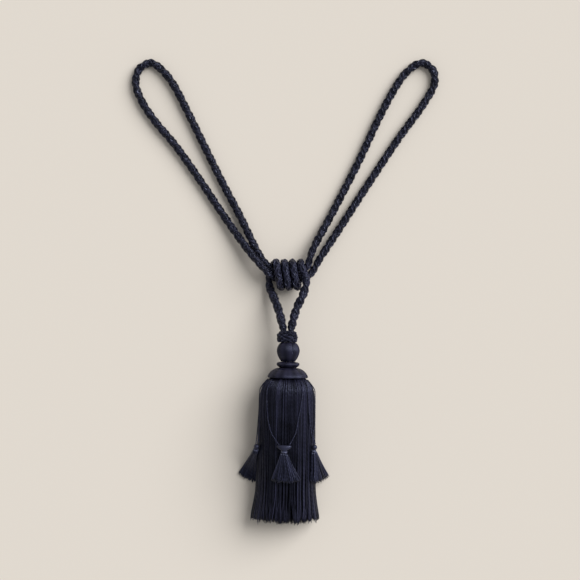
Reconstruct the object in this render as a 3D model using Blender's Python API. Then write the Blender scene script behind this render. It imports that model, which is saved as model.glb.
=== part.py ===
"""Tassel tieback, lying on its back on a flat surface.

Metres, +Z up. The surface is z = 0. +Y runs from the tassel's hem towards the two eyes of the
ring rope, and +X is to the right as seen from above. The origin is on the surface, under the
middle of the tassel. Tables are in millimetres and are turned into metres by MM.
"""

import math
import random

import bmesh
import bpy
import numpy as np

MM = 0.001
TAU = 2 * math.pi

# Rope: a round plait of four two-ply parts, alternately raised and sunk along four columns
ROPE_SIDES = 8
PLAIT_STEP = 3.6 * MM
PLAIT_RELIEF = 0.75 * MM
RING_ROPE_RADIUS = 4.95 * MM
RING_ROPE_BOUND_RADIUS = 4.5 * MM
TASSEL_ROPE_RADIUS = 4.8 * MM
TASSEL_ROPE_BOUND_RADIUS = 4.6 * MM
TASSEL_ROPE_FOOT_RADIUS = 3.7 * MM
BUTT_X = 7.0 * MM
BUTT_GAP = 0.4 * MM

# The ring is tight up to one distance from the binding's middle and full from the other on
RING_TIGHT_WITHIN = 34.0 * MM
RING_FULL_BEYOND = 56.0 * MM
# The legs: how long the squeezed foot is, where they are full, and where the binding starts
FOOT_LENGTH = 13.0 * MM
LEG_FULL_AFTER = 25.0 * MM
LEG_FULL_BELOW_Y = 156.5 * MM
LEG_TIGHT_ABOVE_Y = 168.5 * MM

# Binding: the tassel rope's turns round the two runs of the ring. Turns are counted from the
# side nearest the eyes, and the last one is where the rope leaves for its right leg.
BINDING_MIDDLE_X = 5.0 * MM
BINDING_MIDDLE_Y = 181.1 * MM
BINDING_FIRST_X = -9.75 * MM
BINDING_PITCH = 9.75 * MM
BINDING_FRONT_SHIFT = 6.1 * MM
RUN_OFFSET = 5.2 * MM
RUN_HEIGHT = 14.25 * MM
TURN_RADIUS = 9.65 * MM
POINTS_PER_TURN = 14
LAST_TURN = 3.16

# Tassel axis: it starts at the middle of the cap's rim and runs to the hem, tilted a little
RIM_X = 4.5 * MM
RIM_Y = 59.5 * MM
AXIS_HEIGHT = 28.0 * MM
AXIS_TILT = math.radians(1.15)
ALONG = np.array([-math.sin(AXIS_TILT), -math.cos(AXIS_TILT)])
ACROSS = np.array([math.cos(AXIS_TILT), -math.sin(AXIS_TILT)])

HEAD_SIDES = 28
PIECE_GAP = 0.35 * MM

# Edges sharper than these angles are not rounded in the shading, in degrees
ROPE_SHARP_FROM = 70.0
HEAD_SHARP_FROM = 60.0
SKIRT_SHARP_FROM = 35.0
SMALL_SHARP_FROM = 40.0

# Skirt
PLUG_RADIUS = 18.9 * MM
PLUG_SIDES = 24
PLUG_TOP = -3.8 * MM
ROOT_ALONG = -1.0 * MM
HEM_ALONG = 170.5 * MM
HEM_ROUND = 2.1 * MM
HEM_UNEVEN = 1.6 * MM
PARTING_REACH = 0.05
# A lock's edge is looked up just inside its place, where 0.5 would be on the parting itself
EDGE_REACH = 0.4995
UPPER_CURVE_POINTS = 60
LOWER_CURVE_POINTS = 40
HEM_CHANCE = 11

# Small tassels: two layers of locks in columns, with a gap between the second and third level
FAN_COLUMNS = 7
FAN_FILL = 0.86
FAN_ROOT_FILL = 0.62
FAN_LEVELS = (0.0, 0.46, 0.54, 1.0)
SMALL_SIDES = 12
REST_GAP = 0.6 * MM
HANGER_GAP = 1.2 * MM
OUTLINE_POINTS = 361
HANGER_RADIUS = 0.75 * MM
HANGER_STEP = 6.0 * MM

NAVY = (0.011, 0.012, 0.026, 1.0)
NAVY_SATIN = (0.017, 0.018, 0.038, 1.0)

# Ring rope, in millimetres: x, y, z of its centre line, from the butted ends inside the binding,
# round the left eye, through the binding, and round the right eye
RING_ROUTE = (
    (5.0, 175.9, 14.25),
    (-3.5, 175.9, 14.25),
    (-8.6, 176.6, 14.4),
    (-12.6, 178.5, 16.4),
    (-17.5, 182.0, 20.2),
    (-28.5, 193.3, 19.6),
    (-49.0, 219.0, 12.0),
    (-75.0, 256.0, 6.2),
    (-100.0, 293.5, 5.0),
    (-130.5, 336.5, 5.0),
    (-154.5, 365.0, 5.0),
    (-170.0, 388.5, 5.0),
    (-177.5, 410.5, 5.0),
    (-172.5, 428.0, 5.0),
    (-159.0, 434.5, 5.0),
    (-147.0, 427.0, 5.0),
    (-133.5, 410.5, 5.0),
    (-116.0, 377.5, 5.0),
    (-95.5, 335.5, 5.0),
    (-73.0, 290.0, 5.0),
    (-51.5, 249.0, 6.0),
    (-34.5, 214.0, 9.8),
    (-25.0, 198.5, 12.4),
    (-16.8, 189.3, 14.0),
    (-12.0, 186.7, 14.25),
    (-6.0, 186.3, 14.25),
    (3.5, 186.3, 14.25),
    (12.0, 186.3, 14.25),
    (19.0, 186.3, 14.25),
    (24.4, 187.3, 14.25),
    (27.9, 190.7, 14.4),
    (29.6, 195.7, 14.4),
    (31.0, 201.1, 14.0),
    (35.5, 213.0, 12.0),
    (58.5, 256.0, 6.0),
    (88.0, 313.5, 5.0),
    (115.0, 371.0, 5.0),
    (132.5, 403.5, 5.0),
    (146.0, 422.5, 5.0),
    (164.5, 434.5, 5.0),
    (178.5, 425.5, 5.0),
    (180.0, 409.5, 5.0),
    (167.5, 386.0, 5.0),
    (136.5, 343.0, 5.0),
    (98.0, 285.0, 5.0),
    (60.5, 227.0, 8.0),
    (42.0, 198.7, 11.6),
    (34.6, 185.5, 12.0),
    (29.6, 179.7, 12.2),
    (23.0, 176.5, 13.2),
    (16.0, 175.9, 14.25),
    (9.0, 175.9, 14.25),
)

# Tassel rope, in millimetres: its left leg up to the binding, and its right leg from the binding
LEFT_LEG = (
    (-0.1, 101.2, 28.0),
    (-0.1, 115.5, 27.8),
    (-2.3, 122.5, 26.6),
    (-5.5, 133.0, 22.8),
    (-9.0, 143.5, 18.5),
    (-13.0, 154.5, 13.5),
    (-16.5, 165.0, 8.5),
    (-17.9, 173.0, 5.4),
    (-16.9, 180.0, 4.6),
    (-14.7, 187.0, 4.6),
    (-12.4, 193.2, 7.0),
)
RIGHT_LEG = (
    (24.6, 182.8, 24.2),
    (26.5, 176.5, 24.1),
    (26.4, 169.8, 24.0),
    (24.4, 162.5, 23.9),
    (21.5, 155.5, 24.3),
    (15.5, 143.5, 25.2),
    (11.7, 132.0, 26.3),
    (9.3, 122.5, 27.1),
    (7.9, 115.5, 27.8),
    (7.9, 101.2, 28.0),
)

# Turned pieces of the head, in millimetres: along is from the cap's rim, less than 0 above it
BALL_PROFILE = (
    # along, radius
    (-41.1, 8.0),
    (-40.0, 9.9),
    (-38.2, 11.4),
    (-35.2, 12.8),
    (-31.8, 13.5),
    (-28.6, 13.2),
    (-25.2, 12.1),
    (-22.2, 10.6),
    (-20.0, 9.1),
    (-18.7, 8.0),
)
DISC_PROFILE = (
    (-18.3, 8.4),
    (-17.4, 11.0),
    (-16.6, 12.9),
    (-15.6, 13.5),
    (-14.4, 12.9),
    (-13.0, 11.6),
    (-11.9, 10.4),
    (-11.35, 9.8),
)
CAP_PROFILE = (
    (-11.0, 10.4),
    (-10.6, 13.2),
    (-9.4, 16.4),
    (-7.0, 19.8),
    (-4.4, 22.1),
    (-2.2, 23.4),
    (-0.4, 23.8),
    (0.4, 23.3),
    (0.4, 21.4),
    (-1.0, 20.2),
    (-2.6, 19.6),
    (-4.2, 19.4),
)

# Netted collar, in millimetres: along, and the half thickness of its outer face
COLLAR_HALF_SPAN = 4.0
COLLAR_BORE = 4.2
COLLAR_SHIFT = -1.55
COLLAR_ROWS = (
    # along, half thickness
    (-55.0, 4.9),
    (-52.6, 5.7),
    (-50.0, 6.9),
    (-47.4, 7.6),
    (-44.8, 7.6),
    (-41.5, 6.9),
)
COLLAR_POINTS = 16
COLLAR_RELIEF = 0.45 * MM

# Skirt sections, in millimetres, and what part of a lock's place it fills there
SKIRT_SECTIONS = (
    # along, half_width, top, widest_at, bottom, flat_share, parted, fill
    (-1.0, 18.2, 46.2, 28.0, 9.8, 0.0, 0.0, 0.60),
    (5.5, 24.8, 52.4, 27.6, 3.2, 0.0, 0.0, 0.80),
    (14.0, 30.6, 57.0, 25.0, 0.0, 0.30, 0.0, 0.88),
    (45.0, 33.2, 54.5, 18.5, 0.0, 0.50, 0.0, 0.90),
    (132.0, 35.6, 44.5, 13.0, 0.0, 0.60, 0.25, 0.90),
    (170.5, 41.2, 38.5, 11.5, 0.0, 0.62, 1.0, 0.84),
)
OUTER_STATIONS = (0, 1, 2, 3, 4, 5)
INNER_STATIONS = (0, 2, 4, 5)
SKIRT_LAYERS = (
    # locks, outer share, inner share of the section
    (48, 1.0, 0.885),
    (34, 0.86, 0.70),
    (22, 0.665, 0.47),
    (10, 0.44, 0.16),
)
# Partings in the hem: place as a lock number of the outer layer, and how far each side moves
PARTINGS = ((2, 0.010), (9, 0.004), (15, 0.005), (31, 0.005), (39, 0.006), (45, 0.005))

# Small tassels, in millimetres: across, along and height of the underside at the left edge, the
# middle and the right edge of the neck and of the hem. A height of None is that of the skirt's
# upper face. The locks come down to the hem's height at the settled share of their length.
SMALL_TASSELS = {
    "front": {
        "neck": ((-5.2, 87.0, None), (-2.2, 87.0, None), (0.8, 87.0, None)),
        "hem": ((-13.6, 119.5, None), (0.4, 121.5, None), (15.0, 119.5, None)),
        "settled": 1.0,
        "head": "boat",
    },
    "left": {
        "neck": ((-38.4, 85.5, 27.8), (-36.2, 85.5, 27.4), (-34.2, 85.5, 27.0)),
        "hem": ((-55.0, 115.5, 0.2), (-46.2, 121.0, 0.2), (-38.0, 124.0, 0.2)),
        "settled": 0.75,
        "head": "bead",
    },
    "right": {
        "neck": ((28.8, 87.0, 37.0), (30.6, 87.0, 34.3), (32.3, 87.0, 31.1)),
        "hem": ((26.6, 122.6, 34.6), (37.8, 122.8, 14.0), (48.6, 118.0, 0.6)),
        "settled": 1.0,
        "head": "bead",
    },
}
NECK_GAP = 1.8 * MM
SMALL_THICKNESS_AT_NECK = 4.2 * MM
SMALL_THICKNESS_AT_HEM = 5.2 * MM
SMALL_STATIONS = (0.0, 0.4, 0.75, 1.0)
SMALL_HEADS = {
    # back from the neck, half width, half thickness
    "boat": (
        (1.4, 3.4, 2.7),
        (2.9, 3.3, 2.7),
        (4.3, 5.0, 2.9),
        (6.1, 7.5, 2.9),
        (7.8, 8.3, 2.6),
        (9.0, 7.9, 1.6),
    ),
    "bead": (
        (1.2, 2.7, 2.5),
        (2.6, 2.0, 2.0),
        (3.8, 2.4, 2.4),
        (5.6, 3.1, 3.0),
        (7.4, 2.7, 2.6),
        (8.7, 1.4, 1.4),
    ),
}

# Hangers, in millimetres: across, along and height, from under the cap's rim. A height of None is
# that of the skirt's upper face. Each goes on to the head of its small tassel.
HANGER_ROUTES = {
    "front_hanger_left": (
        (-16.8, 2.4, None),
        (-20.2, 8.0, None),
        (-22.2, 14.0, None),
        (-22.6, 21.0, None),
        (-22.0, 36.0, None),
        (-20.3, 52.0, None),
        (-16.5, 65.0, None),
    ),
    "front_hanger_right": (
        (14.6, 2.4, None),
        (16.0, 8.0, None),
        (16.6, 14.0, None),
        (16.4, 21.0, None),
        (14.6, 36.0, None),
        (12.2, 50.0, None),
        (9.8, 64.0, None),
    ),
    "left_hanger_upper": (
        (-21.6, 2.4, 33.0),
        (-26.0, 8.0, 34.0),
        (-28.4, 14.0, None),
        (-29.3, 21.0, None),
        (-29.9, 38.0, None),
        (-30.6, 54.0, None),
        (-32.6, 66.0, 33.6),
    ),
    "left_hanger_lower": (
        (-21.9, 2.4, 27.5),
        (-27.2, 8.0, 27.5),
        (-30.6, 14.0, 29.0),
        (-31.0, 21.0, None),
        (-31.4, 38.0, None),
        (-32.4, 54.0, 27.6),
        (-34.8, 66.0, 30.4),
    ),
    "right_hanger_upper": (
        (18.4, 2.4, None),
        (21.2, 8.0, None),
        (22.6, 14.0, None),
        (23.2, 21.0, None),
        (24.2, 38.0, None),
        (26.2, 55.0, None),
        (28.0, 67.0, None),
    ),
    "right_hanger_lower": (
        (21.8, 2.4, 30.5),
        (26.8, 8.0, 31.0),
        (30.0, 14.0, 30.0),
        (30.8, 21.0, None),
        (31.2, 38.0, None),
        (31.2, 55.0, None),
        (31.0, 67.0, 35.0),
    ),
}

# Hangers' ends: the small tassel, and how far from the middle of its head, in millimetres
HANGER_ENDS = {
    "front_hanger_left": ("front", -6.4),
    "front_hanger_right": ("front", 6.4),
    "left_hanger_upper": ("left", 1.15),
    "left_hanger_lower": ("left", -1.15),
    "right_hanger_upper": ("right", -1.15),
    "right_hanger_lower": ("right", 1.15),
}


def clear_scene():
    for old in list(bpy.data.objects):
        bpy.data.objects.remove(old)


def make_material(name, colour, roughness):
    material = bpy.data.materials.new(name)
    material.use_nodes = True
    shader = material.node_tree.nodes["Principled BSDF"]
    shader.inputs["Base Color"].default_value = colour
    shader.inputs["Roughness"].default_value = roughness
    shader.inputs["Metallic"].default_value = 0.0
    return material


def make_object(name, vertices, faces, material, sharp_from):
    """A closed mesh with its faces turned outwards."""
    mesh = bpy.data.meshes.new(name)
    mesh.from_pydata([tuple(float(c) for c in v) for v in vertices], [], faces)
    work = bmesh.new()
    work.from_mesh(mesh)
    bmesh.ops.recalc_face_normals(work, faces=work.faces)
    if work.calc_volume(signed=True) < 0:
        bmesh.ops.reverse_faces(work, faces=work.faces)
    work.to_mesh(mesh)
    work.free()
    mesh.shade_smooth()
    mesh.set_sharp_from_angle(angle=math.radians(sharp_from))
    mesh.materials.append(material)
    made = bpy.data.objects.new(name, mesh)
    bpy.context.scene.collection.objects.link(made)
    return made


def place(across, along, height):
    """World place of a point of the tassel: across and along its axis, and above the surface."""
    plan = np.array([RIM_X, RIM_Y]) + ACROSS * across + ALONG * along
    return np.array([plan[0], plan[1], height])


# Routes and ropes


def smooth_curve(points, per_span=24):
    """Dense points of a centripetal Catmull-Rom curve through the given ones."""
    points = [np.array(p, float) for p in points]
    first = 2 * points[0] - points[1]
    last = 2 * points[-1] - points[-2]
    points = [first] + points + [last]
    dense = []
    for k in range(1, len(points) - 2):
        p0, p1, p2, p3 = points[k - 1 : k + 3]
        t0 = 0.0
        t1 = t0 + math.sqrt(np.linalg.norm(p1 - p0))
        t2 = t1 + math.sqrt(np.linalg.norm(p2 - p1))
        t3 = t2 + math.sqrt(np.linalg.norm(p3 - p2))
        for t in np.linspace(t1, t2, per_span, endpoint=False):
            a1 = (t1 - t) / (t1 - t0) * p0 + (t - t0) / (t1 - t0) * p1
            a2 = (t2 - t) / (t2 - t1) * p1 + (t - t1) / (t2 - t1) * p2
            a3 = (t3 - t) / (t3 - t2) * p2 + (t - t2) / (t3 - t2) * p3
            b1 = (t2 - t) / (t2 - t0) * a1 + (t - t0) / (t2 - t0) * a2
            b2 = (t3 - t) / (t3 - t1) * a2 + (t - t1) / (t3 - t1) * a3
            dense.append((t2 - t) / (t2 - t1) * b1 + (t - t1) / (t2 - t1) * b2)
    dense.append(points[-2])
    return np.array(dense)


def even_steps(dense, step):
    """Points at even distances along a dense curve, about one step apart."""
    lengths = np.linalg.norm(np.diff(dense, axis=0), axis=1)
    travelled = np.concatenate([[0.0], np.cumsum(lengths)])
    count = max(2, round(travelled[-1] / step))
    wanted = np.linspace(0.0, travelled[-1], count + 1)
    places = [np.interp(wanted, travelled, dense[:, axis]) for axis in range(3)]
    return np.stack(places, axis=1), wanted


def carried_frames(points):
    """Two directions square to the curve at each point, carried along it without twist."""
    tangents = np.gradient(points, axis=0)
    tangents /= np.linalg.norm(tangents, axis=1)[:, None]
    side = np.cross([0.0, 0.0, 1.0], tangents[0])
    if np.linalg.norm(side) < 0.1:
        side = np.array([1.0, 0.0, 0.0])
    normals = []
    for tangent in tangents:
        side = side - tangent * side.dot(tangent)
        side = side / np.linalg.norm(side)
        normals.append(side)
    normals = np.array(normals)
    return normals, np.cross(tangents, normals)


def plaited_rope(name, route, radius_at, material):
    """A rope solid whose points are raised and sunk like the parts of a round plait."""
    centres, travelled = even_steps(smooth_curve(route), PLAIT_STEP)
    sides, ups = carried_frames(centres)
    vertices = []
    for step, centre in enumerate(centres):
        radius = radius_at(centre, travelled[step], travelled[-1])
        for column in range(ROPE_SIDES):
            angle = TAU * column / ROPE_SIDES
            sunk = (step + column) % 2
            reach = radius - sunk * PLAIT_RELIEF
            point = centre + reach * (math.cos(angle) * sides[step] + math.sin(angle) * ups[step])
            point[2] = max(point[2], 0.0)
            vertices.append(point)
    faces = []
    for step in range(len(centres) - 1):
        for column in range(ROPE_SIDES):
            after = (column + 1) % ROPE_SIDES
            a = step * ROPE_SIDES + column
            b = step * ROPE_SIDES + after
            c = b + ROPE_SIDES
            d = a + ROPE_SIDES
            ridge_rises = ((column + 1) // 2) % 2 == 0
            if ridge_rises:
                faces += [(a, b, c), (a, c, d)]
            else:
                faces += [(a, b, d), (b, c, d)]
    faces.append(tuple(reversed(range(ROPE_SIDES))))
    faces.append(tuple(range(len(vertices) - ROPE_SIDES, len(vertices))))
    return make_object(name, vertices, faces, material, ROPE_SHARP_FROM)


def eased(share):
    """A smooth step from 0 to 1."""
    share = min(1.0, max(0.0, share))
    return share * share * (3 - 2 * share)


def ring_radius(centre, travelled, total):
    """The ring is drawn tight near the binding."""
    binding_middle = np.array([BINDING_MIDDLE_X, BINDING_MIDDLE_Y])
    away = np.linalg.norm(centre[:2] - binding_middle)
    free = eased((away - RING_TIGHT_WITHIN) / (RING_FULL_BEYOND - RING_TIGHT_WITHIN))
    return RING_ROPE_BOUND_RADIUS + free * (RING_ROPE_RADIUS - RING_ROPE_BOUND_RADIUS)


def tassel_rope_radius(centre, travelled, total):
    """The legs are squeezed in the collar, full below the binding and tight in it."""
    from_end = min(travelled, total - travelled)
    out_of_collar = eased((from_end - FOOT_LENGTH) / (LEG_FULL_AFTER - FOOT_LENGTH))
    radius = TASSEL_ROPE_FOOT_RADIUS
    radius += out_of_collar * (TASSEL_ROPE_RADIUS - TASSEL_ROPE_FOOT_RADIUS)
    past = centre[1] - LEG_FULL_BELOW_Y
    in_binding = eased(past / (LEG_TIGHT_ABOVE_Y - LEG_FULL_BELOW_Y))
    return radius + in_binding * (TASSEL_ROPE_BOUND_RADIUS - TASSEL_ROPE_RADIUS)


def binding_point(turns):
    """A place on the binding: whole turns are at the side nearest the eyes."""
    straight = 2 * RUN_OFFSET
    arc = math.pi * TURN_RADIUS
    half = straight + arc
    share = turns % 1.0
    front = share < 0.5
    travelled = (share if front else share - 0.5) * 2 * half
    if travelled < arc / 2:
        angle = travelled / TURN_RADIUS
        out, rise = RUN_OFFSET + TURN_RADIUS * math.cos(angle), TURN_RADIUS * math.sin(angle)
    elif travelled < arc / 2 + straight:
        out, rise = RUN_OFFSET - (travelled - arc / 2), TURN_RADIUS
    else:
        angle = (travelled - straight) / TURN_RADIUS
        out, rise = -RUN_OFFSET + TURN_RADIUS * math.cos(angle), TURN_RADIUS * math.sin(angle)
    if front:
        shift = BINDING_FRONT_SHIFT * travelled / half
    else:
        out, rise = -out, -rise
        back_shift = BINDING_PITCH - BINDING_FRONT_SHIFT
        shift = BINDING_FRONT_SHIFT + back_shift * travelled / half
    x = BINDING_FIRST_X + BINDING_PITCH * math.floor(turns) + shift
    return np.array([x, BINDING_MIDDLE_Y + out, RUN_HEIGHT + rise])


def tassel_rope_route():
    turns = np.arange(0, LAST_TURN, 1 / POINTS_PER_TURN)
    middle = [binding_point(t) for t in turns]
    left = [np.array(p) * MM for p in LEFT_LEG]
    right = [np.array(p) * MM for p in RIGHT_LEG]
    return left + middle + right


def make_ropes(material):
    ring = [np.array(p) * MM for p in RING_ROUTE]
    ring[0][0] = BUTT_X - BUTT_GAP / 2
    ring[-1][0] = BUTT_X + BUTT_GAP / 2
    plaited_rope("ring_rope", ring, ring_radius, material)
    plaited_rope("tassel_rope", tassel_rope_route(), tassel_rope_radius, material)


# Head


def turned_piece(name, profile, material):
    """A piece turned about the tassel's axis, with a flat face at each end of its profile."""
    vertices = []
    for along, radius in profile:
        for k in range(HEAD_SIDES):
            angle = TAU * k / HEAD_SIDES
            across = radius * MM * math.cos(angle)
            height = AXIS_HEIGHT + radius * MM * math.sin(angle)
            vertices.append(place(across, along * MM, height))
    faces = []
    for row in range(len(profile) - 1):
        for k in range(HEAD_SIDES):
            a = row * HEAD_SIDES + k
            b = row * HEAD_SIDES + (k + 1) % HEAD_SIDES
            faces.append((a, b, b + HEAD_SIDES, a + HEAD_SIDES))
    faces.append(tuple(reversed(range(HEAD_SIDES))))
    faces.append(tuple(range(len(vertices) - HEAD_SIDES, len(vertices))))
    return make_object(name, vertices, faces, material, HEAD_SHARP_FROM)


def oval(half_span, radius, k, count):
    """Point k of a round-ended slot's outline: across, and height above the axis."""
    angle = TAU * (k + 0.5) / count
    end = math.copysign(half_span, math.cos(angle))
    return end + radius * math.cos(angle), radius * math.sin(angle)


def make_collar(material):
    """A sleeve round both legs, knobbly outside like the knots of a net."""
    vertices = []
    for row, (along, half_thick) in enumerate(COLLAR_ROWS):
        for k in range(COLLAR_POINTS):
            raised = (row + k) % 2 * COLLAR_RELIEF
            across, height = oval(COLLAR_HALF_SPAN * MM, half_thick * MM + raised, k, COLLAR_POINTS)
            across = across + COLLAR_SHIFT * MM
            vertices.append(place(across, along * MM, AXIS_HEIGHT + height))
    for along, _ in (COLLAR_ROWS[-1], COLLAR_ROWS[0]):
        for k in range(COLLAR_POINTS):
            across, height = oval(COLLAR_HALF_SPAN * MM, COLLAR_BORE * MM, k, COLLAR_POINTS)
            across = across + COLLAR_SHIFT * MM
            vertices.append(place(across, along * MM, AXIS_HEIGHT + height))
    rows = len(COLLAR_ROWS) + 2
    faces = []
    for row in range(rows):
        for k in range(COLLAR_POINTS):
            after = (k + 1) % COLLAR_POINTS
            low = row * COLLAR_POINTS
            high = (row + 1) % rows * COLLAR_POINTS
            faces.append((low + k, low + after, high + after, high + k))
    return make_object("leg_collar", vertices, faces, material, ROPE_SHARP_FROM)


# Skirt


def zipper(ring_a, ring_b):
    """Triangles between two rings of (angle, vertex), each sorted by angle."""
    faces = []
    at_a, at_b = 0, 0
    count_a, count_b = len(ring_a), len(ring_b)
    while at_a < count_a or at_b < count_b:
        here_a, here_b = ring_a[at_a % count_a][1], ring_b[at_b % count_b][1]
        next_a = ring_a[(at_a + 1) % count_a][0] + (TAU if at_a + 1 >= count_a else 0)
        next_b = ring_b[(at_b + 1) % count_b][0] + (TAU if at_b + 1 >= count_b else 0)
        if at_b >= count_b or (at_a < count_a and next_a <= next_b):
            faces.append((here_a, ring_a[(at_a + 1) % count_a][1], here_b))
            at_a += 1
        else:
            faces.append((here_b, here_a, ring_b[(at_b + 1) % count_b][1]))
            at_b += 1
    return faces


def section_curve(section):
    """A section's outline as dense (across, height) points and the share of its length at each.

    It starts at the top and goes round by the right side, the bottom and the left side.
    """
    half_width, top, widest_at, bottom = (size * MM for size in section[1:5])
    flat = section[5] * half_width
    right = []
    for angle in np.linspace(0, math.pi / 2, UPPER_CURVE_POINTS, endpoint=False):
        right.append((half_width * math.sin(angle), widest_at + (top - widest_at) * math.cos(angle)))
    for angle in np.linspace(0, math.pi / 2, LOWER_CURVE_POINTS):
        across = flat + (half_width - flat) * math.cos(angle)
        right.append((across, widest_at - (widest_at - bottom) * math.sin(angle)))
    right.append((0.0, bottom))
    left = [(-across, height) for across, height in reversed(right[:-1])]
    points = np.array(right + left)
    lengths = np.linalg.norm(np.diff(points, axis=0), axis=1)
    shares = np.concatenate([[0.0], np.cumsum(lengths)])
    return points, shares / shares[-1]


SECTION_CURVES = [section_curve(section) for section in SKIRT_SECTIONS]


def parted(share):
    """The share round the hem, moved away from the partings."""
    moved = share
    for lock, reach in PARTINGS:
        away = (share - lock / SKIRT_LAYERS[0][0] + 0.5) % 1.0 - 0.5
        if away:
            moved += math.copysign(reach, away) * math.exp(-abs(away) / PARTING_REACH)
    return moved


def skirt_point(station, share, scale):
    """Across and height of a place on a section: share of the way round, scaled to its middle."""
    points, shares = SECTION_CURVES[station]
    share = share % 1.0
    across = np.interp(share, shares, points[:, 0]) * scale
    height = np.interp(share, shares, points[:, 1])
    middle = (SKIRT_SECTIONS[station][2] + SKIRT_SECTIONS[station][4]) / 2 * MM
    return across, middle + (height - middle) * scale


def lock_corners(station, layer, number, along):
    """The four corners of a lock at a station, as world places."""
    locks, outer, inner = SKIRT_LAYERS[layer]
    fill = SKIRT_SECTIONS[station][7]
    spread = SKIRT_SECTIONS[station][6]
    corners = []
    for scale, ends in ((outer, (-1, 1)), (inner, (1, -1))):
        for end in ends:
            share = (number + 0.5 + 0.5 * fill * end) / locks
            if layer == 0:
                edge = (number + 0.5 + EDGE_REACH * end) / locks
                share = share + spread * (parted(edge) - edge)
            across, height = skirt_point(station, share, scale)
            corners.append(place(across, along, height))
    return corners


def make_skirt(material):
    """The heading inside the cap, and the locks whose roots are faces of its underside."""
    chance = random.Random(HEM_CHANCE)
    vertices, faces = [], []

    def add(points):
        start = len(vertices)
        vertices.extend(points)
        return list(range(start, len(vertices)))

    def angle_of(index):
        offset = vertices[index] - place(0.0, 0.0, AXIS_HEIGHT)
        across = offset[:2].dot(ACROSS)
        return math.atan2(across, offset[2]) % TAU

    def sorted_ring(indices):
        return sorted((angle_of(index), index) for index in indices)

    plug_rings = []
    for along in (PLUG_TOP, ROOT_ALONG):
        ring = []
        for k in range(PLUG_SIDES):
            angle = TAU * k / PLUG_SIDES
            across = PLUG_RADIUS * math.sin(angle)
            ring.append(place(across, along, AXIS_HEIGHT + PLUG_RADIUS * math.cos(angle)))
        plug_rings.append(add(ring))
    faces.append(tuple(plug_rings[0]))
    for k in range(PLUG_SIDES):
        after = (k + 1) % PLUG_SIDES
        faces.append((plug_rings[0][k], plug_rings[0][after], plug_rings[1][after], plug_rings[1][k]))

    boundary = plug_rings[1]
    for layer, (locks, _, _) in enumerate(SKIRT_LAYERS):
        stations = OUTER_STATIONS if layer == 0 else INNER_STATIONS
        roots = [add(lock_corners(0, layer, n, ROOT_ALONG)) for n in range(locks)]
        outer_ring = [index for root in roots for index in root[:2]]
        inner_ring = [index for root in roots for index in (root[3], root[2])]
        faces += zipper(sorted_ring(boundary), sorted_ring(outer_ring))
        boundary = inner_ring
        for number, root in enumerate(roots):
            after = roots[(number + 1) % locks]
            faces.append((root[1], after[0], after[3], root[2]))
            across = skirt_point(-1, (number + 0.5) / locks, 1.0)[0]
            side = across / (SKIRT_SECTIONS[-1][1] * MM)
            hem = HEM_ALONG - HEM_ROUND * side**4 + chance.uniform(-1, 1) * HEM_UNEVEN
            ring = root
            for station in stations[1:]:
                along = hem if station == stations[-1] else SKIRT_SECTIONS[station][0] * MM
                corners = add(lock_corners(station, layer, number, along))
                for k in range(4):
                    turn = (k + 1) % 4
                    faces.append((ring[k], ring[turn], corners[turn], corners[k]))
                ring = corners
            faces.append(tuple(ring))
    faces.append(tuple(index for _, index in sorted_ring(boundary)))
    return make_object("skirt", vertices, faces, material, SKIRT_SHARP_FROM)


# Small tassels and their hangers


def outline_at(along):
    """The skirt's outline at a distance down it, as (across, height) points from the top round."""
    stations = [section[0] * MM for section in SKIRT_SECTIONS]
    shares = np.linspace(0.0, 1.0, OUTLINE_POINTS)
    loops = []
    for points, lengths in SECTION_CURVES:
        loops.append([np.interp(shares, lengths, points[:, axis]) for axis in (0, 1)])
    loops = np.array(loops)
    outline = [
        [np.interp(along, stations, loops[:, axis, k]) for k in range(OUTLINE_POINTS)]
        for axis in (0, 1)
    ]
    return np.array(outline).T


def outside_skirt(across, along, height, gap):
    """The place itself, or the nearest one that is the gap away from the skirt.

    A height of None stands for the skirt's upper face.
    """
    outline = outline_at(along)
    upper = outline[outline[:, 1] > outline[np.argmax(outline[:, 0]), 1]]
    upper = upper[np.argsort(upper[:, 0])]
    beside = abs(across) >= upper[-1, 0]
    if not beside:
        surface = np.interp(across, upper[:, 0], upper[:, 1])
        height = surface if height is None else max(height, surface)
    if height is None:
        height = outline[np.argmax(outline[:, 0]), 1]
    here = np.array([across, height])
    starts, steps = outline[:-1], np.diff(outline, axis=0)
    lengths = np.linalg.norm(steps, axis=1)
    along_step = ((here - starts) * steps).sum(axis=1) / lengths**2
    feet = starts + steps * np.clip(along_step, 0.0, 1.0)[:, None]
    nearest = int(np.argmin(np.linalg.norm(feet - here, axis=1)))
    outward = np.array([-steps[nearest, 1], steps[nearest, 0]]) / lengths[nearest]
    away = (here - feet[nearest]).dot(outward)
    if away < gap:
        here = here + outward * (gap - away)
    return np.array([here[0], along, here[1]])


def through_three(places, share):
    """A place and its sideways direction on the curve through three places, share from -1 to 1."""
    first, middle, last = places
    bend = (first + last) / 2 - middle
    slope = (last - first) / 2
    return middle + share * slope + share * share * bend, slope + 2 * share * bend


def settled_row(tassel, row):
    """The three table places of the neck or the hem, in metres and clear of the skirt."""
    gap = NECK_GAP if row == "neck" else REST_GAP
    places = []
    for across, along, height in tassel[row]:
        height = None if height is None else height * MM
        places.append(outside_skirt(across * MM, along * MM, height, gap))
    return places


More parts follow.
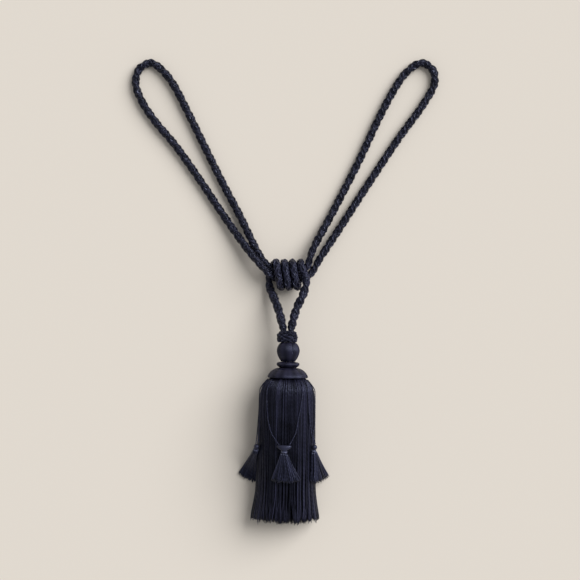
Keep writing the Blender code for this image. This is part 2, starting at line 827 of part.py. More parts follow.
def fan_place(tassel, spread, down, level):
    """A place in a small tassel: across its width, down its length and up its thickness."""
    neck = settled_row(tassel, "neck")
    hem = settled_row(tassel, "hem")
    top, top_side = through_three(neck, spread)
    low, low_side = through_three(hem, spread)
    here = top + (low - top) * down
    here[2] = top[2] + (low[2] - top[2]) * min(1.0, down / tassel["settled"])
    side = top_side + (low_side - top_side) * down
    out = np.cross(hem[1] - neck[1], side)
    out /= math.copysign(np.linalg.norm(out), out[2])
    gap = NECK_GAP + (REST_GAP - NECK_GAP) * min(1.0, 2 * down)
    here = outside_skirt(*here, gap)
    thickness = SMALL_THICKNESS_AT_NECK
    thickness += (SMALL_THICKNESS_AT_HEM - SMALL_THICKNESS_AT_NECK) * down
    return here + out * level * thickness, side / np.linalg.norm(side), out


def lock_spreads(column, down):
    """The two edges of a column of locks, as shares of the fan's width."""
    middle = (2 * column + 1) / FAN_COLUMNS - 1
    fill = FAN_ROOT_FILL + (FAN_FILL - FAN_ROOT_FILL) * min(1.0, 2 * down)
    return middle - fill / FAN_COLUMNS, middle + fill / FAN_COLUMNS


def neck_frame(tassel):
    """The middle of a small tassel's neck, with its sideways, outward and downward directions."""
    middle, side, out = fan_place(tassel, 0.0, 0.0, 0.5)
    run = np.cross(side, out)
    return middle, side, out, math.copysign(1.0, run[1]) * run / np.linalg.norm(run)


def make_small_tassel(kind, material):
    """A head and neck with a fan of locks in two layers."""
    tassel = SMALL_TASSELS[kind]
    vertices, faces = [], []

    def add(points):
        start = len(vertices)
        vertices.extend(place(*point) for point in points)
        return list(range(start, len(vertices)))

    edges = [edge for column in range(FAN_COLUMNS) for edge in lock_spreads(column, 0.0)]
    grid = []
    for level in FAN_LEVELS:
        grid.append(add([fan_place(tassel, edge, 0.0, level)[0] for edge in edges]))
    for row in range(len(FAN_LEVELS) - 1):
        between_layers = row == 1
        for gap in range(len(edges) - 1):
            cell = (grid[row][gap], grid[row][gap + 1], grid[row + 1][gap + 1], grid[row + 1][gap])
            if between_layers or gap % 2:
                faces.append(cell)
                continue
            ring = cell
            for down in SMALL_STATIONS[1:]:
                left, right = lock_spreads(gap // 2, down)
                corners = ((left, row), (right, row), (right, row + 1), (left, row + 1))
                fresh = add(
                    [fan_place(tassel, spread, down, FAN_LEVELS[k])[0] for spread, k in corners]
                )
                for k in range(4):
                    turn = (k + 1) % 4
                    faces.append((ring[k], ring[turn], fresh[turn], fresh[k]))
                ring = tuple(fresh)
            faces.append(ring)

    neck_middle, side, out, run = neck_frame(tassel)
    head_rings = []
    for back, wide, thick in SMALL_HEADS[tassel["head"]]:
        ring = []
        for k in range(SMALL_SIDES):
            angle = TAU * k / SMALL_SIDES
            point = neck_middle - run * back * MM
            point = point + side * wide * MM * math.cos(angle) + out * thick * MM * math.sin(angle)
            ring.append(point)
        head_rings.append(add(ring))

    def ring_angles(indices):
        middle = place(*neck_middle)
        side_way = place(*(neck_middle + side)) - middle
        out_way = place(*(neck_middle + out)) - middle
        found = []
        for index in indices:
            offset = vertices[index] - middle
            found.append((math.atan2(offset.dot(out_way), offset.dot(side_way)) % TAU, index))
        return sorted(found)

    rim = list(grid[0]) + [grid[1][-1], grid[2][-1]] + list(grid[3]) + [grid[1][0], grid[2][0]]
    faces += zipper(ring_angles(head_rings[0]), ring_angles(rim))
    for low, high in zip(head_rings, head_rings[1:]):
        for k in range(SMALL_SIDES):
            turn = (k + 1) % SMALL_SIDES
            faces.append((low[k], low[turn], high[turn], high[k]))
    faces.append(tuple(head_rings[-1]))
    return make_object("small_tassel_" + kind, vertices, faces, material, SMALL_SHARP_FROM)


def make_hanger(name, route, material):
    """A thin cord along a route of world places."""
    dense = smooth_curve(route)
    places, _ = even_steps(dense, HANGER_STEP)
    curve = bpy.data.curves.new(name, "CURVE")
    curve.dimensions = "3D"
    curve.bevel_depth = HANGER_RADIUS
    curve.bevel_resolution = 2
    curve.use_fill_caps = True
    spline = curve.splines.new("POLY")
    spline.points.add(len(places) - 1)
    for point, place_of in zip(spline.points, places):
        point.co = (*place_of, 1.0)
    curve.materials.append(material)
    made = bpy.data.objects.new(name, curve)
    bpy.context.scene.collection.objects.link(made)
    return made


def make_hangers(material):
    for name, route in HANGER_ROUTES.items():
        places = []
        for across, along, height in route:
            height = None if height is None else height * MM
            gap = HANGER_GAP + HANGER_RADIUS
            places.append(place(*outside_skirt(across * MM, along * MM, height, gap)))
        kind, aside = HANGER_ENDS[name]
        tassel = SMALL_TASSELS[kind]
        middle, side, _, run = neck_frame(tassel)
        head_end = SMALL_HEADS[tassel["head"]][-1][0] * MM + 3 * PIECE_GAP
        places.append(place(*(middle - run * head_end + side * aside * MM)))
        make_hanger(name, places, material)


def main():
    clear_scene()
    rope = make_material("navy_rope", NAVY, 0.7)
    satin = make_material("navy_satin_wrap", NAVY_SATIN, 0.45)
    thread = make_material("navy_thread", NAVY, 0.6)
    make_ropes(rope)
    make_collar(rope)
    turned_piece("head_ball", BALL_PROFILE, satin)
    turned_piece("head_disc", DISC_PROFILE, satin)
    turned_piece("head_cap", CAP_PROFILE, satin)
    make_skirt(thread)
    for kind in SMALL_TASSELS:
        make_small_tassel(kind, thread)
    make_hangers(rope)


main()
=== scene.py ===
"""Tassel tieback as it looks: plaited rope, thread-covered head, skirt and small tassels of thread.

Metres, +Z up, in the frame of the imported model. Tables are in millimetres and are turned into
metres by MM. The camera looks straight down, as in a flat lay.
"""

import math

import bpy
import numpy as np
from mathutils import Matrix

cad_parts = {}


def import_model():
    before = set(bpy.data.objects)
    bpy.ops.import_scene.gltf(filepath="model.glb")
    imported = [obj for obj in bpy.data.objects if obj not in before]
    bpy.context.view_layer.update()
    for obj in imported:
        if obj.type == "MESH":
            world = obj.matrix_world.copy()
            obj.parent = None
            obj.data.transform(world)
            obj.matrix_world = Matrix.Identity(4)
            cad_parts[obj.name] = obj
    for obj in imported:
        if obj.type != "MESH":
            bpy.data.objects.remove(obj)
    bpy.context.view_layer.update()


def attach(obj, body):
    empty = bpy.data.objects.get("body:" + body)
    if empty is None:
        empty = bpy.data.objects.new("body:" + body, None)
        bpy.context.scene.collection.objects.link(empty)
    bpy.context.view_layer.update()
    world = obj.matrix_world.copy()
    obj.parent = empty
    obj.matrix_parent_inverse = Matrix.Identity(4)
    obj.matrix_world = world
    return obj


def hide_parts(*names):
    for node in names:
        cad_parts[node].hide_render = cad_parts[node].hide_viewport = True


MM = 0.001
TAU = 2 * math.pi
GROUND_CLEARANCE = 0.05 * MM

# Light: a soft sun from the upper right, and even light from all round
KEY_FROM = (0.63, 0.42, 0.6)
KEY_STRENGTH = 3.33
KEY_SOFTNESS = 48.0
AMBIENT_STRENGTH = 0.35

# Camera and ground
PICTURE_WIDTH = 580
GROUND_MM_PER_PIXEL = 1.2
CAMERA_HEIGHT = 2.0
CAMERA_X = 7.2 * MM
CAMERA_Y = 162.7 * MM
SENSOR_WIDTH = 36.0
GROUND_HALF_SIZE = 3.0
GROUND_COLOUR = (0.745, 0.69, 0.62, 1.0)

# Yarns: the record's slot, colours of the darkest and the lightest threads, then roughness, gloss,
# sheen, plies and how far the twist stands out
YARNS = {
    "navy_rope_yarn": (
        "navy_rope", (0.0008, 0.0007, 0.0015), (0.026, 0.0262, 0.05),
        (0.26, 0.45, 0.0, 5.0, 0.6 * MM),
    ),
    "navy_satin_thread": (
        "navy_satin_wrap", (0.0055, 0.0052, 0.012), (0.0165, 0.0158, 0.033),
        (0.36, 0.3, 0.02, 1.0, 0.0),
    ),
    "navy_skirt_thread": (
        "navy_thread", (0.0006, 0.0005, 0.001), (0.026, 0.0262, 0.052),
        (0.34, 0.34, 0.0, 2.0, 0.06 * MM),
    ),
    # A darker copy of the skirt thread for the deeper layers: painted shade under the outer threads
    "navy_deep_thread_painted_shade": (
        "navy_thread", (0.0004, 0.0004, 0.0007), (0.007, 0.0068, 0.0135),
        (0.5, 0.12, 0.0, 2.0, 0.1 * MM),
    ),
    "navy_head_thread": (
        "navy_satin_wrap", (0.009, 0.009, 0.017), (0.024, 0.0248, 0.046),
        (0.34, 0.5, 0.03, 1.0, 0.0),
    ),
    # Lighter than the other threads: a painted highlight on the turns round the small tassels'
    # necks
    "navy_wrap_thread_painted_highlight": (
        "navy_satin_wrap", (0.024, 0.0248, 0.046), (0.075, 0.08, 0.13),
        (0.3, 0.6, 0.03, 2.0, 0.0),
    ),
    "navy_small_thread": (
        "navy_thread", (0.0015, 0.0015, 0.003), (0.034, 0.036, 0.072),
        (0.28, 0.45, 0.0, 2.0, 0.1 * MM),
    ),
    # Near black: painted shade on the skirt's hidden core
    "navy_core_painted_shade": (
        "navy_thread", (0.001, 0.001, 0.0018), (0.002, 0.002, 0.0036),
        (0.8, 0.1, 0.0, 1.0, 0.0),
    ),
}
SPECULAR_TINT = (0.62, 0.68, 1.0, 1.0)
SHEEN_TINT = (0.55, 0.6, 1.0, 1.0)
SHEEN_ROUGHNESS = 0.35
DYE_SCALE = 90.0
DYE_DETAIL = 3.0
DYE_SHARE = 0.6
TONE_SHARE = 0.8
TONE_SHIFT = -0.2
TONE_STEP = 12.9898
TWIST_STRENGTH = 0.7

# Binding: the tassel rope's turns round the two runs of the ring
BINDING_MIDDLE_X = 5.0 * MM
BINDING_MIDDLE_Y = 181.1 * MM
BINDING_FIRST_X = -9.75 * MM
BINDING_PITCH = 9.75 * MM
BINDING_FRONT_SHIFT = 6.1 * MM
RUN_OFFSET = 5.2 * MM
RUN_HEIGHT = 14.25 * MM
TURN_RADIUS = 9.65 * MM
POINTS_PER_TURN = 14
LAST_TURN = 3.16
BUTT_GAP = 0.4 * MM
BUTT_X = 7.0 * MM

# Rope radii, and where along its run each rope changes from one to the next
RING_ROPE_RADIUS = 4.95 * MM
RING_ROPE_BOUND_RADIUS = 4.5 * MM
RING_TIGHT_WITHIN = 34 * MM
RING_LOOSENS_OVER = 22 * MM
TASSEL_ROPE_RADIUS = 5.35 * MM
TASSEL_ROPE_BOUND_RADIUS = 4.6 * MM
TASSEL_ROPE_FOOT_RADIUS = 3.7 * MM
FOOT_LENGTH = 12 * MM
FOOT_SWELLS_OVER = 9 * MM
LEG_TIGHT_FROM_Y = 160 * MM
LEG_TIGHTENS_OVER = 12 * MM

# Plait: two-ply parts go round both ways and pass over each other in four columns
PLAIT_PITCH = 28.4 * MM
PLAIT_STEP = 1.5 * MM
PLAIT_PARTS = (-32.0, 32.0, 148.0, 212.0)
YARN_SIDES = 7
YARN_SHARE = 0.3
YARN_CENTRE_SHARE = 0.64
CROSSING_SHARE = 0.08
ROPE_CORE_SHARE = 0.7
YARN_WANDER = 0.012
WANDER_SHOWN = 0.25
YARN_SWELL = 0.03
SWELL_LENGTH = 7 * MM
ROPE_TWIST = 24 * MM
# How light the yarns are on the ring, on the legs and in the binding; the binding's lighter
# yarns are a painted highlight on its turns
MOST_TONE = 1.1
RING_LIGHT = 0.6
LEG_LIGHT = 0.95
BINDING_PAINTED_HIGHLIGHT = 2.0

# Tassel axis: it starts at the middle of the cap's rim and runs to the hem, tilted a little
RIM_X = 4.5 * MM
RIM_Y = 59.5 * MM
AXIS_HEIGHT = 28.0 * MM
AXIS_TILT = math.radians(1.15)
ALONG = np.array([-math.sin(AXIS_TILT), -math.cos(AXIS_TILT)])
ACROSS = np.array([math.cos(AXIS_TILT), -math.sin(AXIS_TILT)])

# Skirt threads
HEM_ALONG = 170.5 * MM
HEM_ROUND = 2.1 * MM
OUTLINE_POINTS = 361
THREAD_SIDES = 5
RADIUS_SPREAD = (0.85, 1.15)
PARTING_REACH = 0.05
LOCKS = 46
LOCK_SHIFT = 0.25
LOCK_LENGTH_SPREAD = 1.0 * MM
THREAD_LENGTH_SPREAD = 0.9 * MM
ABOVE_HEM = 0.3 * MM
STRAY_SHARE = 0.14
STRAY_LENGTH = 0.9 * MM
STRAY_RADIUS_SHARE = 0.75
END_RADIUS_SHARE = 0.45
GATHERED_SHARE = 0.62
# Where the threads gather, spread and flare: start and length, as shares of the way down
GATHER_START, GATHER_LENGTH = 0.35, 0.6
SPREAD_START, SPREAD_LENGTH = 0.72, 0.28
FLARE_START, FLARE_LENGTH = 0.86, 0.14
THREAD_SWING = 0.0016
THREAD_LIFT = 0.006
THREAD_FLARE = 0.008
MOST_SCALE = 1.015
SKIRT_TWIST = 5.5 * MM
THREAD_TOP = -0.6 * MM
LOW_THREAD_TOP = HEM_ALONG - 34 * MM
CORE_END = HEM_ALONG - 22 * MM
CORE_SCALE = 0.905
CORE_GROOVE = 0.012

# Small tassels and hangers
REST_GAP = 0.6 * MM
HANGER_GAP = 1.2 * MM
NECK_GAP = 1.8 * MM
SMALL_THICKNESS_AT_NECK = 4.2 * MM
SMALL_THICKNESS_AT_HEM = 5.2 * MM
PIECE_GAP = 0.35 * MM
HANGER_RADIUS = 0.75 * MM
HANGER_STEP = 0.9 * MM
HANGER_LAY = 4.2 * MM
PLY_OFFSET = 0.36 * MM
PLY_RADIUS = 0.42 * MM
PLY_TWIST = 1.2 * MM
SMALL_THREADS = 150
SMALL_THREAD_POINTS = 12
SMALL_THREAD_RADIUS = 0.5 * MM
SMALL_THREAD_TWIST = 4.5 * MM
LEAST_HEIGHT = 0.6 * MM
WRAP_TURNS = 3.0
WRAP_STEPS = 72
WRAP_START = 0.6 * MM
WRAP_LENGTH = 1.7 * MM
WRAP_LIFT = 0.2 * MM
WRAP_RADIUS = 0.42 * MM
WRAP_TWIST = 1.5 * MM
HEAD_SIDES = 72
HEAD_ROWS = 26
HEAD_RIDGES = 24

# Ring rope, in millimetres: x, y, z of its centre line
RING_ROUTE = (
    (5.0, 175.9, 14.25), (-3.5, 175.9, 14.25), (-8.6, 176.6, 14.4), (-12.6, 178.5, 16.4),
    (-17.5, 182.0, 20.2), (-28.5, 193.3, 19.6), (-49.0, 219.0, 12.0), (-75.0, 256.0, 6.2),
    (-100.0, 293.5, 5.0), (-130.5, 336.5, 5.0), (-154.5, 365.0, 5.0), (-170.0, 388.5, 5.0),
    (-177.5, 410.5, 5.0), (-172.5, 428.0, 5.0), (-159.0, 434.5, 5.0), (-147.0, 427.0, 5.0),
    (-133.5, 410.5, 5.0), (-116.0, 377.5, 5.0), (-95.5, 335.5, 5.0), (-73.0, 290.0, 5.0),
    (-51.5, 249.0, 6.0), (-34.5, 214.0, 9.8), (-25.0, 198.5, 12.4), (-16.8, 189.3, 14.0),
    (-12.0, 186.7, 14.25), (-6.0, 186.3, 14.25), (3.5, 186.3, 14.25), (12.0, 186.3, 14.25),
    (19.0, 186.3, 14.25), (24.4, 187.3, 14.25), (27.9, 190.7, 14.4), (29.6, 195.7, 14.4),
    (31.0, 201.1, 14.0), (35.5, 213.0, 12.0), (58.5, 256.0, 6.0), (88.0, 313.5, 5.0),
    (115.0, 371.0, 5.0), (132.5, 403.5, 5.0), (146.0, 422.5, 5.0), (164.5, 434.5, 5.0),
    (178.5, 425.5, 5.0), (180.0, 409.5, 5.0), (167.5, 386.0, 5.0), (136.5, 343.0, 5.0),
    (98.0, 285.0, 5.0), (60.5, 227.0, 8.0), (42.0, 198.7, 11.6), (34.6, 185.5, 12.0),
    (29.6, 179.7, 12.2), (23.0, 176.5, 13.2), (16.0, 175.9, 14.25), (9.0, 175.9, 14.25),
)

# Tassel rope, in millimetres: its left leg up to the binding, and its right leg from the binding
LEFT_LEG = (
    (-0.1, 101.2, 28.0), (-0.5, 115.5, 27.8), (-2.1, 122.5, 26.6), (-4.5, 133.0, 22.8),
    (-7.9, 143.5, 18.5), (-12.2, 154.5, 13.5), (-16.5, 165.0, 8.5), (-17.9, 173.0, 5.4),
    (-16.9, 180.0, 4.6), (-14.7, 187.0, 4.6), (-12.4, 193.2, 7.0),
)
RIGHT_LEG = (
    (24.6, 182.8, 24.2), (26.5, 176.5, 24.1), (26.4, 169.8, 24.0), (24.4, 162.5, 23.9),
    (22.1, 155.5, 24.3), (16.2, 143.5, 25.2), (12.3, 132.0, 26.3), (9.9, 122.5, 27.1),
    (8.3, 115.5, 27.8), (7.9, 101.2, 28.0),
)

# Turned pieces of the head: threads across a ridge, the covering's depth, and the ball's seam as
# its place, width, depth, where it ends and how soon
PROFILE_STEP = 0.55 * MM
RIDGE_DEPTH = 0.09 * MM
BALL_RIDGES = 120
CAP_RIDGES = 200
BALL_SEAM = (math.radians(24), 0.55 * MM, 0.9 * MM, -27.0 * MM)
SEAM_FADES_OVER = 4 * MM
# Their profiles, in millimetres: along is from the cap's rim, less than 0 above it
BALL_PROFILE = (
    (-41.1, 8.0), (-40.0, 9.9), (-38.2, 11.4), (-35.2, 12.8), (-31.8, 13.5), (-28.6, 13.2),
    (-25.2, 12.1), (-22.2, 10.6), (-20.0, 9.1), (-18.7, 8.0),
)
DISC_PROFILE = (
    (-18.3, 8.4), (-17.7, 11.2), (-17.0, 12.8), (-15.8, 13.5), (-14.5, 13.3), (-13.2, 12.3),
    (-12.1, 10.9), (-11.35, 9.8),
)
CAP_PROFILE = (
    (-11.0, 10.4), (-10.6, 13.2), (-9.4, 16.4), (-7.0, 19.8), (-4.4, 22.1), (-2.2, 23.4),
    (-0.4, 23.8), (0.4, 23.3), (0.4, 21.4), (-1.0, 20.2), (-2.6, 19.6), (-4.2, 19.4),
)

# Netted collar: the rows are in millimetres
COLLAR_HALF_SPAN = 4.0 * MM
COLLAR_SHIFT = -1.55 * MM
COLLAR_INNER_RADIUS = 4.0 * MM
COLLAR_CORE_RADIUS = 4.3 * MM
COLLAR_CORE_SUNK = 2.0 * MM
COLLAR_ROWS = (
    # along, half thickness
    (-55.0, 4.9), (-52.6, 5.7), (-50.0, 6.9), (-47.4, 7.6), (-44.8, 7.6), (-41.5, 6.9),
)

# Knots of the net: places along the axis in millimetres, and each knot's own points
KNOT_ROWS = (-52.4, -49.9, -47.4, -44.9, -43.0)
KNOT_SPOTS = np.linspace(-1, 1, 7)
KNOT_RADIUS = 1.15 * MM
KNOT_HALF_LENGTH = 1.3
KNOT_LEAN = 0.17
KNOT_TWIST = 2.0 * MM
KNOT_SUNK = 0.75 * MM
KNOT_ARCH = 0.55
NET_CORDS = 9
NET_POINTS = 40
NET_TURN = 2.7
NET_RADIUS = 0.95 * MM
NET_START = 0.4 * MM
NET_SHORTER = 0.6 * MM
NET_SHUTS_OVER = 0.14
NET_TWIST = 1.8 * MM
NET_SUNK = 0.9 * MM
NET_WEAVE = 0.65 * MM
NET_DRAWN_IN = 1.2 * MM

# Skirt sections, in millimetres
SKIRT_SECTIONS = (
    # along, half_width, top, widest_at, bottom, flat_share
    (-1.0, 18.2, 46.2, 28.0, 9.8, 0.0),
    (5.5, 24.8, 52.4, 27.6, 3.2, 0.0),
    (14.0, 30.6, 57.0, 25.0, 0.0, 0.30),
    (45.0, 33.2, 54.5, 18.5, 0.0, 0.50),
    (132.0, 35.6, 44.5, 13.0, 0.0, 0.60),
    (170.5, 41.2, 38.5, 11.5, 0.0, 0.62),
)
# Partings in the hem: place as a share of the way round, and how far each side moves
PARTINGS = (
    (2 / 48, 0.010), (9 / 48, 0.004), (15 / 48, 0.005),
    (31 / 48, 0.005), (39 / 48, 0.006), (45 / 48, 0.005),
)

# Painted light and shade on the skirt: the right side lighter and the left darker as the light
# falls, painted shade above the front tassel and in a parting low down, and one lighter bundle
# beside it. Each is its place and width as shares of the way round, first and last as shares of
# the way down, and how much lighter or darker the threads are there
PAINTED_LIGHT_AND_SHADE_PLACES = (
    (0.0, 0.035, 0.25, 0.5, -0.75), (0.03, 0.02, 0.72, 1.1, -0.85),
    (-0.035, 0.014, 0.76, 1.1, 0.9), (0.13, 0.02, 0.2, 0.9, 0.5), (-0.16, 0.05, 0.3, 0.95, -0.4),
)

# Small tassels, in millimetres: across, along and height of the underside at the left edge, the
# middle and the right edge of the neck and of the hem. A row without a height is on the skirt's
# upper face. The threads come down to the hem's height at the settled share of their length.
SMALL_TASSELS = {
    "front": {
        "neck": ((-5.2, 87.0), (-2.2, 87.0), (0.8, 87.0)),
        "hem": ((-13.6, 119.5), (0.4, 121.5), (15.0, 119.5)),
        "settled": 1.0,
        "head": "boat",
    },
    "left": {
        "neck": ((-38.4, 85.5, 27.8), (-36.2, 85.5, 27.4), (-34.2, 85.5, 27.0)),
        "hem": ((-55.0, 115.5, 0.2), (-46.2, 121.0, 0.2), (-38.0, 124.0, 0.2)),
        "settled": 0.75,
        "tucked": 0.3,
        "head": "bead",
    },
    "right": {
        "neck": ((28.8, 87.0, 37.0), (30.6, 87.0, 34.3), (32.3, 87.0, 31.1)),
        "hem": ((26.6, 122.6, 34.6), (37.8, 122.8, 14.0), (48.6, 118.0, 0.6)),
        "settled": 1.0,
        "head": "bead",
    },
}
SMALL_HEADS = {
    # back from the neck, half width, half thickness
    "boat": (
        (1.4, 3.4, 2.7), (2.9, 3.3, 2.7), (4.3, 5.0, 2.9), (6.1, 7.5, 2.9), (7.8, 8.3, 2.6),
        (9.0, 7.9, 1.6),
    ),
    "bead": (
        (1.2, 2.7, 2.5), (2.6, 2.0, 2.0), (3.8, 2.4, 2.4), (5.6, 3.1, 3.0), (7.4, 2.7, 2.6),
        (8.7, 1.4, 1.4),
    ),
}

# Hangers: the small tassel, how far from the middle of its head the hanger ends, and the route
# to it from under the cap's rim, as across, along and height. All are in millimetres, and a row
# without a height is on the skirt's upper face.
HANGERS = {
    "front_hanger_left": ("front", -6.4, (
        (-16.8, 2.4), (-20.2, 8.0), (-22.2, 14.0), (-22.6, 21.0), (-22.0, 36.0), (-20.3, 52.0),
        (-16.5, 65.0),
    )),
    "front_hanger_right": ("front", 6.4, (
        (14.6, 2.4), (16.0, 8.0), (16.6, 14.0), (16.4, 21.0), (14.6, 36.0), (12.2, 50.0),
        (9.8, 64.0),
    )),
    "left_hanger_upper": ("left", 1.15, (
        (-21.6, 2.4, 33.0), (-26.0, 8.0, 34.0), (-28.4, 14.0), (-29.3, 21.0), (-29.9, 38.0),
        (-30.6, 54.0), (-32.6, 66.0, 33.6),
    )),
    "left_hanger_lower": ("left", -1.15, (
        (-21.9, 2.4, 27.5), (-27.2, 8.0, 27.5), (-30.6, 14.0, 29.0), (-31.0, 21.0), (-31.4, 38.0),
        (-32.4, 54.0, 27.6), (-34.8, 66.0, 30.4),
    )),
    "right_hanger_upper": ("right", -1.15, (
        (18.4, 2.4), (21.2, 8.0), (22.6, 14.0), (23.2, 21.0), (24.2, 38.0), (26.2, 55.0),
        (28.0, 67.0),
    )),
    "right_hanger_lower": ("right", 1.15, (
        (21.8, 2.4, 30.5), (26.8, 8.0, 31.0), (30.0, 14.0, 30.0), (30.8, 21.0), (31.2, 38.0),
        (31.2, 55.0), (31.0, 67.0, 35.0),
    )),
}


# Meshes


def add_object(name, data):
    """A new object in the scene."""
    made = bpy.data.objects.new(name, data)
    bpy.context.scene.collection.objects.link(made)
    return made


def mesh_object(name, node, vertices, faces, material, uvs=None, tones=None):
    """A smooth mesh in place of a node. UVs go by corner and tones by point."""
    mesh = bpy.data.meshes.new(name)
    mesh.from_pydata(vertices.tolist(), [], faces)
    if uvs is not None:
        layer = mesh.uv_layers.new(name="thread")
        layer.data.foreach_set("uv", np.asarray(uvs, np.float32).ravel())
    if tones is not None:
        attribute = mesh.attributes.new("tone", "FLOAT", "POINT")
        attribute.data.foreach_set("value", np.asarray(tones, np.float32))
    mesh.shade_smooth()
    mesh.materials.append(material)
    made = add_object(name, mesh)
    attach(made, "root")
    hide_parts(node)
    return made


def closed_wall(rows, sides):
    """Faces of a closed body made of rings: its wall, then its two ends."""
    faces = []
    for row in range(rows - 1):
        for k in range(sides):
            low, after = row * sides + k, row * sides + (k + 1) % sides
            faces.append((low, after, after + sides, low + sides))
    faces.append(tuple(reversed(range(sides))))
    faces.append(tuple(range((rows - 1) * sides, rows * sides)))
    return faces


def unit(vectors):
    lengths = np.linalg.norm(vectors, axis=-1, keepdims=True)
    return vectors / np.maximum(lengths, 1e-9)


def tubes(name, node, paths, outs, radii, sides, tones, material, twist_pitch):
    """Closed round tubes along many paths of equal point count.

    paths and outs are (tube, point, 3), radii is (tube, point) and tones is one value a tube or
    one a point. The UV goes once round a tube, and once along it for each twist pitch.
    """
    paths = np.asarray(paths, float)
    count, points = paths.shape[:2]
    tangents = unit(np.gradient(paths, axis=1))
    along_out = (outs * tangents).sum(axis=2, keepdims=True)
    normals = unit(outs - tangents * along_out)
    binormals = np.cross(tangents, normals)
    angles = TAU * np.arange(sides) / sides
    rings = (
        paths[:, :, None]
        + (radii[:, :, None] * np.cos(angles))[..., None] * normals[:, :, None]
        + (radii[:, :, None] * np.sin(angles))[..., None] * binormals[:, :, None]
    )
    rings[..., 2] = np.maximum(rings[..., 2], GROUND_CLEARANCE)
    vertices = rings.reshape(-1, 3)

    index = np.arange(count * points * sides).reshape(count, points, sides)
    after = np.roll(index, -1, axis=2)
    quads = np.stack([index[:, :-1], after[:, :-1], after[:, 1:], index[:, 1:]], axis=-1)
    caps = index[:, 0, ::-1].tolist() + index[:, -1].tolist()
    faces = quads.reshape(-1, 4).tolist() + caps

    steps = np.linalg.norm(np.diff(paths, axis=1), axis=2)
    travelled = np.concatenate([np.zeros((count, 1)), np.cumsum(steps, axis=1)], axis=1)
    tones = np.asarray(tones, float).reshape(count, -1)
    phases = np.modf(np.abs(tones[:, 0]) * 97.13)[0]
    turns = travelled / twist_pitch + phases[:, None]
    around = np.arange(sides) / sides
    low = np.broadcast_to(turns[:, :-1, None], quads.shape[:3])
    high = np.broadcast_to(turns[:, 1:, None], quads.shape[:3])
    here = np.broadcast_to(around, quads.shape[:3])
    there = here + 1 / sides
    corners = [(here, low), (there, low), (there, high), (here, high)]
    uvs = np.stack([np.stack(corner, axis=-1) for corner in corners], axis=3).reshape(-1, 2)
    cap_uvs = np.zeros((2 * count * sides, 2))
    point_tones = np.repeat(np.broadcast_to(tones, (count, points)), sides)
    uvs = np.concatenate([uvs, cap_uvs])
    return mesh_object(name, node, vertices, faces, material, uvs, point_tones)


def from_grid(grid, row, column):
    """Values of a grid at rows and columns between the whole ones."""
    row_low = np.clip(row.astype(int), 0, grid.shape[0] - 2)
    column_low = np.clip(column.astype(int), 0, grid.shape[1] - 2)
    more = (1,) * (grid.ndim - 2)
    r = (row - row_low).reshape(row.shape + more)
    c = (column - column_low).reshape(row.shape + more)
    return (
        grid[row_low, column_low] * (1 - r) * (1 - c)
        + grid[row_low + 1, column_low] * r * (1 - c)
        + grid[row_low, column_low + 1] * (1 - r) * c
        + grid[row_low + 1, column_low + 1] * r * c
    )


def place(across, along, height):
    """World places of points of the tassel: across and along its axis, and above the ground."""
    across, along, height = np.broadcast_arrays(across, along, height)
    x = RIM_X + ACROSS[0] * across + ALONG[0] * along
    y = RIM_Y + ACROSS[1] * across + ALONG[1] * along
    return np.stack([x, y, height], axis=-1)


# Routes


def mixed(first, last, start, end, t):
    """A place on the line from the first one, at start, to the last one, at end."""
    return (end - t) / (end - start) * first + (t - start) / (end - start) * last


def smooth_curve(points, per_span=24):
    """Dense points of a centripetal Catmull-Rom curve through the given ones."""
    points = [np.array(p, float) for p in points]
    first = 2 * points[0] - points[1]
    last = 2 * points[-1] - points[-2]
    points = [first] + points + [last]
    dense = []
    for k in range(1, len(points) - 2):
        p0, p1, p2, p3 = points[k - 1 : k + 3]
        t0 = 0.0
        t1 = t0 + math.sqrt(np.linalg.norm(p1 - p0))
        t2 = t1 + math.sqrt(np.linalg.norm(p2 - p1))
        t3 = t2 + math.sqrt(np.linalg.norm(p3 - p2))
        for t in np.linspace(t1, t2, per_span, endpoint=False):
            a1, a2 = mixed(p0, p1, t0, t1, t), mixed(p1, p2, t1, t2, t)
            a3 = mixed(p2, p3, t2, t3, t)
            b1, b2 = mixed(a1, a2, t0, t2, t), mixed(a2, a3, t1, t3, t)
            dense.append(mixed(b1, b2, t1, t2, t))
    dense.append(points[-2])
    return np.array(dense)


def even_steps(dense, step):
    """Points at even distances along a dense curve, about one step apart."""
    lengths = np.linalg.norm(np.diff(dense, axis=0), axis=1)
    travelled = np.concatenate([[0.0], np.cumsum(lengths)])
    count = max(2, round(travelled[-1] / step))
    wanted = np.linspace(0.0, travelled[-1], count + 1)
    places = [np.interp(wanted, travelled, dense[:, axis]) for axis in range(3)]
    return np.stack(places, axis=1), wanted


def carried_frames(points):
    """Two directions square to the curve at each point, carried along it without twist."""
    tangents = unit(np.gradient(points, axis=0))
    side = np.cross([0.0, 0.0, 1.0], tangents[0])
    if np.linalg.norm(side) < 0.1:
        side = np.array([1.0, 0.0, 0.0])
    normals = []
    for tangent in tangents:
        side = unit(side - tangent * side.dot(tangent))
        normals.append(side)
    normals = np.array(normals)
    return normals, np.cross(tangents, normals)


def blend(first, last, share):
    """The first value, moved a share of the way to the last one."""
    return first + (last - first) * share


def eased(share):
    """A smooth step from 0 to 1."""
    share = np.clip(share, 0.0, 1.0)
    return share * share * (3 - 2 * share)


def ring_radius(centres, _):
    """The ring is drawn tight near the binding."""
    binding_middle = np.array([BINDING_MIDDLE_X, BINDING_MIDDLE_Y])
    away = np.linalg.norm(centres[:, :2] - binding_middle, axis=1)
    free = eased((away - RING_TIGHT_WITHIN) / RING_LOOSENS_OVER)
    return blend(RING_ROPE_BOUND_RADIUS, RING_ROPE_RADIUS, free)


def in_binding(centres):
    """0 on the legs and 1 in the binding, for each point of the tassel rope."""
    return eased((centres[:, 1] - LEG_TIGHT_FROM_Y) / LEG_TIGHTENS_OVER)


